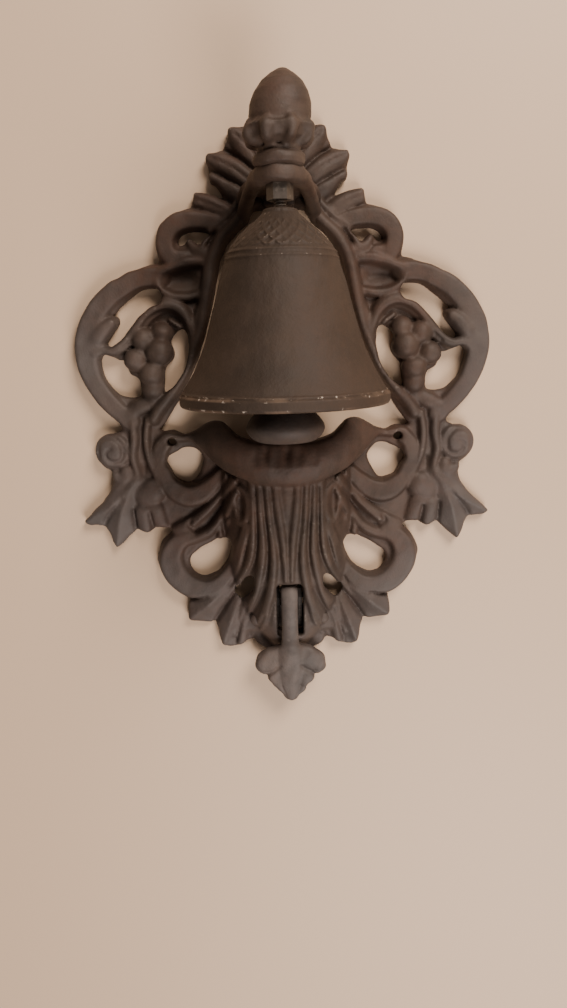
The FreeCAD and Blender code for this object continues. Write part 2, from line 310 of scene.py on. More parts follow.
# ---- relief on the casting -----------------------------------------------------------------------
class Form(Enum):
    """Section of a stroke of relief."""

    ROUND = "round"
    RIDGE = "ridge"
    GROOVE = "groove"
    BAND = "band"


@dataclass(frozen=True)
class Stroke:
    """One stroke of relief: a path, its half widths and its heights above the ground, in order."""

    form: Form
    path: tuple[Point, ...]
    widths: tuple[float, ...]
    heights: tuple[float, ...]
    closed: bool = False

    def section(self, across: np.ndarray) -> np.ndarray:
        """Height share for a distance from the middle line, given as a share of the half width.

        Args:
            across: Distance from the middle line, as a share of the half width.

        Returns:
            The height there, as a share of the stroke's height.
        """
        across = np.clip(across, 0, 1)
        if self.form is Form.RIDGE:
            return 1 - across
        if self.form is Form.GROOVE:
            return (1 - across**2) ** 2
        if self.form is Form.BAND:
            return np.sqrt(1 - across**4) - 0.34 * np.exp(-((across / 0.42) ** 2))
        return np.sqrt(1 - across**2)


def stroke(form: Form, path: list[Point], widths: tuple[float, ...] | float,
           heights: tuple[float, ...] | float, closed: bool = False) -> Stroke:
    """Stroke whose widths and heights are spread evenly along its path.

    Args:
        form: Its section.
        path: Points (x, z) that its middle line passes through.
        widths: Half width, or half widths in order.
        heights: Height, or heights in order.
        closed: Whether the path joins up with its start.

    Returns:
        The stroke.
    """
    widths = widths if isinstance(widths, tuple) else (widths,)
    heights = heights if isinstance(heights, tuple) else (heights,)
    return Stroke(form, tuple(path), widths, heights, closed)


@dataclass
class Relief:
    """Heights of a casting's front over one half of the wall plane."""

    x: np.ndarray
    z: np.ndarray
    ground: np.ndarray
    raised: np.ndarray = field(init=False)
    sunk: np.ndarray = field(init=False)

    def __post_init__(self) -> None:
        """Starts from the bare ground."""
        self.raised = np.zeros_like(self.ground)
        self.sunk = np.zeros_like(self.ground)

    def add(self, mark: Stroke, blend: float = 0.9) -> None:
        """Lays one stroke on the casting.

        Args:
            mark: The stroke.
            blend: Width over which it runs into the strokes under it.
        """
        path = smooth_path(list(mark.path), 7, mark.closed)
        if mark.closed:
            path = np.vstack([path, path[:1]])
        places = np.linspace(0, 1, len(path))
        widths = np.interp(places, np.linspace(0, 1, len(mark.widths)), mark.widths)
        heights = np.interp(places, np.linspace(0, 1, len(mark.heights)), mark.heights)
        reach = widths.max() + 1
        window = ((self.x > path[:, 0].min() - reach) & (self.x < path[:, 0].max() + reach)
                  & (self.z > path[:, 1].min() - reach) & (self.z < path[:, 1].max() + reach))
        x, z = self.x[window], self.z[window]
        best = np.zeros_like(x)
        for k, (a, b) in enumerate(zip(path[:-1], path[1:])):
            run = b - a
            length = float(run @ run) or 1e-9
            share = np.clip(((x - a[0]) * run[0] + (z - a[1]) * run[1]) / length, 0, 1)
            gap = np.hypot(x - a[0] - share * run[0], z - a[1] - share * run[1])
            width = widths[k] + share * (widths[k + 1] - widths[k])
            height = heights[k] + share * (heights[k + 1] - heights[k])
            part = np.where(gap < width, height * mark.section(gap / width), 0)
            np.maximum(best, part, out=best)
        if mark.form is Form.GROOVE:
            self.sunk[window] = np.maximum(self.sunk[window], best)
        else:
            self.raised[window] = np.where(best > 0, soft_max(self.raised[window], best, blend),
                                           self.raised[window])

    def heights(self) -> np.ndarray:
        """The finished front."""
        return self.ground + self.raised - self.sunk


def worn(heights: np.ndarray, rounds: int) -> np.ndarray:
    """Rubs down a height map, as years of handling do.

    Args:
        heights: The map.
        rounds: How often each place is evened out with its neighbours.

    Returns:
        The softer map.
    """
    for _ in range(rounds):
        padded = np.pad(heights, 1, mode="edge")
        beside = padded[2:, 1:-1] + padded[:-2, 1:-1] + padded[1:-1, 2:] + padded[1:-1, :-2]
        heights = 0.5 * heights + 0.125 * beside
    return heights


def sampled(values: np.ndarray, x0: float, z0: float, step: float, block: Block) -> np.ndarray:
    """Reads a fine half-plane map at a block's own x and z.

    Args:
        values: Map indexed by x and z.
        x0: The x of its first row.
        z0: The z of its first column.
        step: Its spacing.
        block: The block that needs it; its left half reads the mirror image.

    Returns:
        Values with shape (x, 1, z).
    """
    across = (np.abs(block.x[:, 0, 0]) - x0) / step
    up = (block.z[0, 0, :] - z0) / step
    i, j = across.astype(int), up.astype(int)
    i, j = np.clip(i, 0, values.shape[0] - 2), np.clip(j, 0, values.shape[1] - 2)
    s, t = (across - i)[:, None], (up - j)[None, :]
    corner = [[values[np.ix_(i + a, j + b)] for b in (0, 1)] for a in (0, 1)]
    near = corner[0][0] * (1 - t) + corner[0][1] * t
    far = corner[1][0] * (1 - t) + corner[1][1] * t
    return (near * (1 - s) + far * s)[:, None, :]


# ---- mesh helpers --------------------------------------------------------------------------------
def make_piece(name: str, vertices: np.ndarray, faces: np.ndarray | list, body: str,
               material: bpy.types.Material, stands_for: tuple[str, ...] = ()) -> bpy.types.Object:
    """Makes one smooth-shaded piece that rides on a CAD body.

    Args:
        name: The piece's name.
        vertices: Vertices in metres, in the row frame.
        faces: Faces as rows of vertex numbers.
        body: The CAD body it moves with.
        material: Its finish.
        stands_for: CAD nodes that it replaces.

    Returns:
        The new object.
    """
    mesh = bpy.data.meshes.new(name)
    mesh.from_pydata(vertices.tolist(), [], [list(map(int, f)) for f in faces])
    mesh.validate()
    mesh.polygons.foreach_set("use_smooth", [True] * len(mesh.polygons))
    mesh.materials.append(material)
    piece = bpy.data.objects.new(name, mesh)
    bpy.context.scene.collection.objects.link(piece)
    if stands_for:
        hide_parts(*stands_for)
    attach(piece, body)
    log.info("%s: %d faces, rides on %s", name, len(mesh.polygons), body)
    return piece


def wrapped_faces(rings: int, around: int) -> list[tuple[int, int, int, int]]:
    """Faces of a tube of rings that closes round but not end to end."""
    return [(r * around + k, r * around + (k + 1) % around, (r + 1) * around + (k + 1) % around,
             (r + 1) * around + k) for r in range(rings - 1) for k in range(around)]


# ---- finishes ------------------------------------------------------------------------------------
Colour = tuple[float, float, float, float]
CHIP: Colour = (0.46, 0.37, 0.30, 1)


@dataclass(frozen=True)
class IronFinish:
    """Old cast iron: a brown skin, grey where rubbed, with rust, pale chips and painted shade in its
    hollows.
    """

    name: str
    skin: Colour = (0.070, 0.049, 0.036, 1)
    rubbed: Colour = (0.115, 0.092, 0.080, 1)
    rust: Colour = (0.105, 0.052, 0.028, 1)
    rust_amount: float = 0.45
    # strength of the painted shade that darkens concave hollows
    hollow_shade_amount: float = 0.35
    wear_amount: float = 0.55
    chip_amount: float = 0.10
    faded: Colour = (0.112, 0.093, 0.086, 1)
    fade_amount: float = 0.0
    rims: tuple[float, ...] = ()
    grain_height: float = 0.00022
    roughness: float = 0.62
    contrast: float = 1.0


class EffectGroups:
    """Shader node groups that every finish shares."""

    def __init__(self) -> None:
        """Builds each group once."""
        self.wear_and_shade = self._edge_wear_and_hollow_shade()
        self.grain = self._cast_grain()
        self.rust = self._rust_bloom()
        self.fade = self._faded_outskirts()
        self.rim = self._rim_chips()

    @staticmethod
    def _new(name: str, inputs: dict[str, float], outputs: dict[str, str]) -> bpy.types.NodeTree:
        """Empty group with float inputs and named outputs of the given socket types.

        Args:
            name: The group's name.
            inputs: Float inputs and their values.
            outputs: Outputs and their socket types.

        Returns:
            The group, with an input node named "in" and an output node named "out".
        """
        tree = bpy.data.node_groups.new(name, "ShaderNodeTree")
        for label, value in inputs.items():
            socket = tree.interface.new_socket(label, in_out="INPUT", socket_type="NodeSocketFloat")
            socket.default_value = value
        for label, kind in outputs.items():
            tree.interface.new_socket(label, in_out="OUTPUT", socket_type=kind)
        tree.nodes.new("NodeGroupInput").name = "in"
        tree.nodes.new("NodeGroupOutput").name = "out"
        return tree

    @staticmethod
    def _noise(tree: bpy.types.NodeTree, scale: float, detail: float, rough: float = 0.6) -> bpy.types.Node:
        """Noise in the object's own coordinates.

        Args:
            tree: The group that the node goes into.
            scale: Waves per metre.
            detail: Finer layers.
            rough: Strength of the finer layers.

        Returns:
            The noise node.
        """
        place = tree.nodes.new("ShaderNodeTexCoord")
        noise = tree.nodes.new("ShaderNodeTexNoise")
        noise.inputs["Scale"].default_value = scale
        noise.inputs["Detail"].default_value = detail
        noise.inputs["Roughness"].default_value = rough
        tree.links.new(place.outputs["Object"], noise.inputs["Vector"])
        return noise

    @staticmethod
    def _remap(tree: bpy.types.NodeTree, source: bpy.types.NodeSocket, low: float,
               high: float) -> bpy.types.Node:
        """Stretches low..high to 0..1 and clamps it.

        Args:
            tree: The group that the node goes into.
            source: The value to stretch.
            low: Where the result is 0.
            high: Where the result is 1.

        Returns:
            The node.
        """
        node = tree.nodes.new("ShaderNodeMapRange")
        node.interpolation_type = "SMOOTHSTEP"
        node.inputs["From Min"].default_value = low
        node.inputs["From Max"].default_value = high
        tree.links.new(source, node.inputs["Value"])
        return node

    @staticmethod
    def _math(tree: bpy.types.NodeTree, kind: str, a: bpy.types.NodeSocket | float,
              b: bpy.types.NodeSocket | float) -> bpy.types.Node:
        """One math node fed by sockets or numbers.

        Args:
            tree: The group that the node goes into.
            kind: The operation.
            a: First value.
            b: Second value.

        Returns:
            The node.
        """
        node = tree.nodes.new("ShaderNodeMath")
        node.operation = kind
        for index, value in enumerate((a, b)):
            if isinstance(value, (int, float)):
                node.inputs[index].default_value = value
            else:
                tree.links.new(value, node.inputs[index])
        return node

    def _edge_wear_and_hollow_shade(self) -> bpy.types.NodeTree:
        """Masks of rubbed high edges, of painted shade in concave hollows and of small bright chips.

        Returns:
            The group.
        """
        tree = self._new("edge wear", {"Amount": 0.5, "Chips": 0.1},
                         {"Rubbed": "NodeSocketFloat", "Painted hollow shade": "NodeSocketFloat",
                          "Chip": "NodeSocketFloat"})
        given, out = tree.nodes["in"], tree.nodes["out"]
        shape = tree.nodes.new("ShaderNodeNewGeometry")
        edge = self._remap(tree, shape.outputs["Pointiness"], 0.50, 0.60)
        # painted shade: the less pointy a place is (a concave hollow), the stronger its darkening mask
        hollow = self._remap(tree, shape.outputs["Pointiness"], 0.50, 0.42)
        patches = self._remap(tree, self._noise(tree, 45, 4).outputs["Fac"], 0.35, 0.65)
        rubbed = self._math(tree, "MULTIPLY", edge.outputs[0], patches.outputs[0])
        amount = self._math(tree, "MULTIPLY", rubbed.outputs[0], given.outputs["Amount"])
        specks = self._remap(tree, self._noise(tree, 420, 2, 0.5).outputs["Fac"], 0.61, 0.66)
        sharp = self._remap(tree, shape.outputs["Pointiness"], 0.52, 0.56)
        chip = self._math(tree, "MULTIPLY", specks.outputs[0], sharp.outputs[0])
        chips = self._math(tree, "MULTIPLY", chip.outputs[0], given.outputs["Chips"])
        tree.links.new(amount.outputs[0], out.inputs["Rubbed"])
        tree.links.new(hollow.outputs[0], out.inputs["Painted hollow shade"])
        tree.links.new(chips.outputs[0], out.inputs["Chip"])
        return tree

    def _cast_grain(self) -> bpy.types.NodeTree:
        """Height and mottling of a sand-cast skin.

        Returns:
            The group.
        """
        tree = self._new("cast grain", {"Coarse": 0.5}, {"Height": "NodeSocketFloat",
                                                         "Mottle": "NodeSocketFloat"})
        given, out = tree.nodes["in"], tree.nodes["out"]
        fine = self._noise(tree, 900, 3, 0.65)
        coarse = self._noise(tree, 190, 4, 0.55)
        swell = self._math(tree, "MULTIPLY", coarse.outputs["Fac"], given.outputs["Coarse"])
        height = self._math(tree, "ADD", fine.outputs["Fac"], swell.outputs[0])
        mottle = self._noise(tree, 60, 6, 0.62)
        tree.links.new(height.outputs[0], out.inputs["Height"])
        tree.links.new(mottle.outputs["Fac"], out.inputs["Mottle"])
        return tree

    def _rust_bloom(self) -> bpy.types.NodeTree:
        """Mask of brown-red bloom in soft patches.

        Returns:
            The group.
        """
        tree = self._new("rust bloom", {"Amount": 0.5}, {"Rust": "NodeSocketFloat"})
        given, out = tree.nodes["in"], tree.nodes["out"]
        broad = self._remap(tree, self._noise(tree, 14, 5, 0.6).outputs["Fac"], 0.38, 0.68)
        spots = self._remap(tree, self._noise(tree, 240, 4, 0.7).outputs["Fac"], 0.40, 0.72)
        both = self._math(tree, "MULTIPLY", broad.outputs[0], spots.outputs[0])
        patches = self._math(tree, "ADD", broad.outputs[0], both.outputs[0])
        rust = self._math(tree, "MULTIPLY", patches.outputs[0], given.outputs["Amount"])
        tree.links.new(rust.outputs[0], out.inputs["Rust"])
        return tree

    def _faded_outskirts(self) -> bpy.types.NodeTree:
        """Mask that grows from the middle of the casting to its outer scrolls and tips.

        Returns:
            The group.
        """
        tree = self._new("faded outskirts", {"Amount": 0.5}, {"Faded": "NodeSocketFloat"})
        given, out = tree.nodes["in"], tree.nodes["out"]
        place = tree.nodes.new("ShaderNodeTexCoord")
        flat = tree.nodes.new("ShaderNodeVectorMath")
        flat.operation = "MULTIPLY_ADD"
        flat.inputs[1].default_value = (1.0, 0.0, 0.6)
        flat.inputs[2].default_value = (0.0, 0.0, -0.036)
        tree.links.new(place.outputs["Object"], flat.inputs[0])
        away = tree.nodes.new("ShaderNodeVectorMath")
        away.operation = "LENGTH"
        tree.links.new(flat.outputs[0], away.inputs[0])
        drift = self._math(tree, "MULTIPLY", self._noise(tree, 22, 4).outputs["Fac"], 0.045)
        reach = self._math(tree, "ADD", away.outputs["Value"], drift.outputs[0])
        far = self._remap(tree, reach.outputs[0], 0.088, 0.150)
        amount = self._math(tree, "MULTIPLY", far.outputs[0], given.outputs["Amount"])
        tree.links.new(amount.outputs[0], out.inputs["Faded"])
        return tree

    def _rim_chips(self) -> bpy.types.NodeTree:
        """Mask of worn metal and pale chips round a level, in metres.

        Returns:
            The group.
        """
        tree = self._new("rim chips", {"Level": 0.0, "Reach": 0.0012},
                         {"Worn": "NodeSocketFloat", "Chip": "NodeSocketFloat"})
        given, out = tree.nodes["in"], tree.nodes["out"]
        place = tree.nodes.new("ShaderNodeTexCoord")
        parts = tree.nodes.new("ShaderNodeSeparateXYZ")
        tree.links.new(place.outputs["Object"], parts.inputs[0])
        off = self._math(tree, "SUBTRACT", parts.outputs["Z"], given.outputs["Level"])
        off = self._math(tree, "ABSOLUTE", off.outputs[0], 0.0)
        near = self._math(tree, "DIVIDE", off.outputs[0], given.outputs["Reach"])
        band = self._remap(tree, near.outputs[0], 1.0, 0.35)
        patches = self._remap(tree, self._noise(tree, 70, 4).outputs["Fac"], 0.40, 0.62)
        specks = self._remap(tree, self._noise(tree, 330, 3, 0.6).outputs["Fac"], 0.60, 0.66)
        worn_band = self._math(tree, "MULTIPLY", band.outputs[0], patches.outputs[0])
        chip = self._math(tree, "MULTIPLY", band.outputs[0], specks.outputs[0])
        tree.links.new(worn_band.outputs[0], out.inputs["Worn"])
        tree.links.new(chip.outputs[0], out.inputs["Chip"])
        return tree


def mixed(tree: bpy.types.NodeTree, share: bpy.types.NodeSocket, base: bpy.types.NodeSocket | Colour,
          over: bpy.types.NodeSocket | Colour, kind: str = "MIX") -> bpy.types.NodeSocket:
    """Lays one colour over another by a mask.

    Args:
        tree: The material's nodes.
        share: The mask.
        base: Colour where the mask is 0.
        over: Colour where it is 1.
        kind: How they mix.

    Returns:
        The mixed colour.
    """
    node = tree.nodes.new("ShaderNodeMix")
    node.data_type = "RGBA"
    node.blend_type = kind
    node.clamp_factor = True
    tree.links.new(share, node.inputs[0])
    for value, socket in ((base, node.inputs[6]), (over, node.inputs[7])):
        if isinstance(value, tuple):
            socket.default_value = value
        else:
            tree.links.new(value, socket)
    return node.outputs[2]


def iron_material(finish: IronFinish, groups: EffectGroups) -> bpy.types.Material:
    """Builds an old iron finish from the shared groups.

    Args:
        finish: Its colours and amounts.
        groups: The shared node groups.

    Returns:
        The material.
    """
    material = bpy.data.materials.new(finish.name)
    material.use_nodes = True
    tree = material.node_tree
    shader = tree.nodes["Principled BSDF"]

    def placed(group: bpy.types.NodeTree, **values: float) -> bpy.types.Node:
        """Puts a shared group in this material with its own values.

        Args:
            group: The shared group.
            values: Values of its inputs, by name.

        Returns:
            The node.
        """
        node = tree.nodes.new("ShaderNodeGroup")
        node.node_tree = group
        for label, value in values.items():
            node.inputs[label].default_value = value
        return node

    wear_and_shade = placed(groups.wear_and_shade, Amount=finish.wear_amount, Chips=finish.chip_amount)
    grain = placed(groups.grain, Coarse=1.4)
    rust = placed(groups.rust, Amount=finish.rust_amount)
    tone = EffectGroups._remap(tree, grain.outputs["Mottle"], 0.30, 0.72)
    deep = tuple(c * (1 - 0.30 * finish.contrast) for c in finish.skin[:3]) + (1,)
    pale = tuple(c * (1 + 0.36 * finish.contrast) for c in finish.skin[:3]) + (1,)
    colour = mixed(tree, tone.outputs[0], deep, pale)
    colour = mixed(tree, rust.outputs["Rust"], colour, finish.rust)
    if finish.fade_amount:
        colour = mixed(tree, placed(groups.fade, Amount=finish.fade_amount).outputs["Faded"], colour,
                       finish.faded)
    # painted shade: concave hollows are darkened towards a deep brown, 0.42 of the rust colour
    hollow = EffectGroups._math(tree, "MULTIPLY", wear_and_shade.outputs["Painted hollow shade"], finish.hollow_shade_amount)
    colour = mixed(tree, hollow.outputs[0], colour, tuple(c * 0.42 for c in finish.rust[:3]) + (1,))
    colour = mixed(tree, wear_and_shade.outputs["Rubbed"], colour, finish.rubbed)
    for level in finish.rims:
        rim = placed(groups.rim, Level=level)
        colour = mixed(tree, rim.outputs["Worn"], colour, finish.rubbed)
        colour = mixed(tree, rim.outputs["Chip"], colour, CHIP)
    colour = mixed(tree, wear_and_shade.outputs["Chip"], colour, CHIP)
    tree.links.new(colour, shader.inputs["Base Color"])
    rough = EffectGroups._math(tree, "MULTIPLY", grain.outputs["Mottle"], 0.20)
    rough = EffectGroups._math(tree, "ADD", rough.outputs[0], finish.roughness - 0.10)
    tree.links.new(rough.outputs[0], shader.inputs["Roughness"])
    shader.inputs["Metallic"].default_value = 0.15
    shader.inputs["Specular IOR Level"].default_value = 0.34
    bump = tree.nodes.new("ShaderNodeBump")
    bump.inputs["Strength"].default_value = 0.75
    bump.inputs["Distance"].default_value = finish.grain_height
    tree.links.new(grain.outputs["Height"], bump.inputs["Height"])
    tree.links.new(bump.outputs["Normal"], shader.inputs["Normal"])
    return material


class Finishes:
    """All materials of the bell, made once."""

    def __init__(self) -> None:
        """Builds the shared groups and each finish."""
        groups = EffectGroups()
        self.frame = iron_material(IronFinish(
            "brown frame iron", skin=(0.058, 0.037, 0.027, 1), rust=(0.078, 0.037, 0.024, 1),
            rust_amount=0.55,
            rubbed=(0.105, 0.080, 0.068, 1), fade_amount=0.75, chip_amount=0.2), groups)
        self.bell = iron_material(IronFinish(
            "brown bell iron", skin=(0.042, 0.026, 0.0175, 1), rust=(0.058, 0.031, 0.019, 1),
            rust_amount=0.35,
            rubbed=(0.120, 0.075, 0.050, 1), wear_amount=0.8, chip_amount=0.9, roughness=0.68,
            rims=(0.0274, 0.0224), contrast=0.55), groups)
        self.lever = iron_material(IronFinish(
            "grey lever iron", skin=(0.098, 0.076, 0.067, 1), rust_amount=0.25, rubbed=(0.19, 0.16, 0.145,
                                                                                        1),
            chip_amount=0.9), groups)
        self.ball = iron_material(IronFinish(
            "dark striker iron", skin=(0.058, 0.044, 0.038, 1), rust=(0.075, 0.046, 0.034, 1),
            rust_amount=0.4), groups)
        self.steel = iron_material(IronFinish(
            "dull fastener steel", skin=(0.046, 0.035, 0.027, 1), rubbed=(0.14, 0.11, 0.09, 1),
            rust=(0.075, 0.040, 0.025, 1), rust_amount=0.45, grain_height=0.00008, roughness=0.46,
            wear_amount=0.8), groups)
        # painted shade darkens the thread's roots at full strength
        self.thread = iron_material(IronFinish(
            "rubbed thread steel", skin=(0.13, 0.105, 0.085, 1), rubbed=(0.62, 0.56, 0.50, 1),
            rust_amount=0.15,
            grain_height=0.00005, roughness=0.42, wear_amount=1.6, hollow_shade_amount=1.0), groups)


# ---- the openwork casting ------------------------------------------------------------------------
@dataclass
class BackPlate:
    """The openwork casting: rings, scrolls, leaves, grapes, bell frame, swag and hollow fan."""

    step: float = 0.85
    map_step: float = 0.4
    thickness: float = 5.2
    kept_faces: float = 0.64
    dome: Spot = (34.0, 29.0, 88.0)
    dome_level: float = -30.0
    hollow: Spot = (30.5, 25.5, 82.0)
    hollow_level: float = -26.0
    slot_half_width: float = 6.9
    slot_corner: float = 2.2
    eye_hollow: Spot = (22.0, 9.6, -78.5)
    slot_levels: Point = (-106.0, -73.5)
    wall_screw: Spot = (58.5, 0.0, 2.25)
    edge: Runs = field(default_factory=lambda: [
        [(0, 150.3), (12, 150.4), (21.5, 149.8)],
        [(21.5, 149.8), (23.2, 149), (24.3, 144), (26.5, 140.2)],
        [(26.5, 140.2), (30.4, 138.8), (33.9, 138.2)],
        [(33.9, 138.2), (34.7, 135.4), (33.6, 131.6), (33.5, 129.3), (33, 125.5), (30, 123.4),
         (26.7, 117.8)],
        [(26.7, 117.8), (34, 120.4), (41, 121.2)],
        [(41, 121.2), (41.8, 117), (43, 114)],
        [(43, 114), (49.5, 112.8), (53.6, 111), (57.5, 108), (60, 104), (61.2, 99.5), (61, 95), (60, 89)],
        [(60, 89), (64.5, 88), (70, 86.3), (75, 84.8), (80, 82.3), (86, 79.4), (92.5, 74), (98, 67.5),
         (102, 60), (104.3, 52.5), (105, 44.5), (104.5, 39), (102, 31), (98.5, 25), (94.5, 19.5),
         (90, 14.5),
         (85.5, 10.3), (84, 6.5)],
        [(84, 6.5), (88, 4.7), (93, 4.2), (97, 1), (98.4, -3.5), (97.7, -8.5), (94.7, -12.8), (91.2, -15.3),
         (90.5, -18.5)],
        [(90.5, -18.5), (91.3, -22), (92.4, -25.2), (95.3, -29.6), (100, -34.3), (107.6, -41.6)],
        [(107.6, -41.6), (105, -43.7), (100.5, -44), (96.8, -45.2), (94.3, -48.5), (93.2, -53.5),
         (91, -56.8)],
        [(91, -56.8), (88, -54.2), (84, -50.5), (80.3, -47)],
        [(80.3, -47), (77, -47.5), (74.3, -48.4), (71.5, -47.4), (68.5, -45.8), (64.5, -45.8), (61.3, -48)],
        [(61.3, -48), (66.5, -53.3), (69.3, -59), (70, -64), (68.2, -71.4), (63.2, -79), (57.8, -84),
         (54.1, -86.2)],
        [(54.1, -86.2), (55, -92.3), (55.2, -96.8), (53.8, -99)],
        [(53.8, -99), (47.8, -100), (40.7, -100.3)],
        [(40.7, -100.3), (39, -104.5), (38.4, -110), (37, -113.8)],
        [(37, -113.8), (33.2, -114.7), (27.8, -114), (23.5, -111.5), (20, -111.5), (17.5, -114)],
        [(17.5, -114), (10, -117.6), (0, -118.3)],
    ])
    opening: Runs = field(default_factory=lambda: [
        [(0, 112), (12.5, 112)],
        [(12.5, 112), (17, 105), (21.4, 101.4), (25.7, 96.4), (29.3, 90), (32, 79), (34, 70), (40, 50),
         (45, 37),
         (50, 28), (54.5, 20), (60, 12), (64.6, 6)],
        [(64.6, 6), (58, 4), (50, 3)],
        [(50, 3), (36, 3), (25, -1), (0, -1)],
    ])
    holes: dict[str, list[Point]] = field(default_factory=lambda: {
        "top scroll": [(34.5, 101.5), (40, 102.7), (45, 102.6), (48.5, 101), (50.4, 98), (49, 96.4),
                       (46.8, 97.6),
                       (44.8, 99.8), (42, 98), (39.5, 96.5), (36.5, 99)],
        "ring above": [(60.3, 75.3), (64, 76.4), (70, 75.6), (75.5, 72), (80.6, 67.8), (83.6, 64.8),
                       (85, 63.8),
                       (82.6, 63), (81.6, 61), (82.4, 58.6), (84.6, 56), (86.6, 53.4), (88, 51.4),
                       (88.4, 49.6),
                       (86, 48.8), (82, 51), (78.3, 55), (72.6, 61.4), (66.5, 66.6), (60.4, 69.4)],
        "ring below": [(80, 41.3), (83, 42), (87, 44), (90.5, 44.8), (92.5, 42), (92, 37), (90, 31),
                       (86, 26),
                       (83, 23.8), (78, 22.8), (73.5, 23.8), (73, 28), (73.7, 32.5), (78, 35)],
        "lens": [(49.5, 56), (54, 54.5), (56.5, 51), (55, 45), (56.5, 41), (60, 37), (60.6, 31), (61, 25),
                 (54, 30),
                 (50, 36), (48, 42), (47, 49)],
        "loop": [(43, -9.5), (48, -3.8), (56, -4.8), (62, -10), (60, -15), (57, -20), (50, -22), (46, -18)],
        "bottom scroll": [(30, -54), (36, -52.8), (40, -54.5), (44.5, -56.8), (48.5, -59.5), (51.5, -62),
                          (52.8, -66),
                          (51.6, -70), (48.5, -73), (44, -74), (39.5, -72.3), (35, -68.7), (32.3, -64),
                          (30.5, -59)],
        "teardrop": [(18.5, -70.8), (21, -70.6), (24, -74), (26.5, -80), (26.5, -83.5), (24.5, -85),
                     (21.5, -82),
                     (18.3, -77)],
    })
    grapes: list[tuple[Point, float, float]] = field(default_factory=lambda: [
        ((60, 54.5), 5.4, 6.4), ((61.8, 45.6), 6.9, 8.4), ((74, 41.8), 5.9, 7.4), ((66.2, 34.8), 6.4, 8.2),
        ((69.4, 51.6), 6.0, 6.8), ((66.4, 27.4), 5.6, 6.8)])
    swag_edge: Runs = field(default_factory=lambda: [
        [(0, 1.4), (7, 1.2), (14, 1.6), (20, 3), (24, 4.8), (27.5, 8), (31, 10.8), (35.5, 11.2), (40, 9.4),
         (46, 5.6),
         (51, 3.6)],
        [(51, 3.6), (46, -1), (41, -6.5), (35.5, -10.6), (30, -14), (24, -16.6), (12, -19.8), (0, -20.8)],
    ])

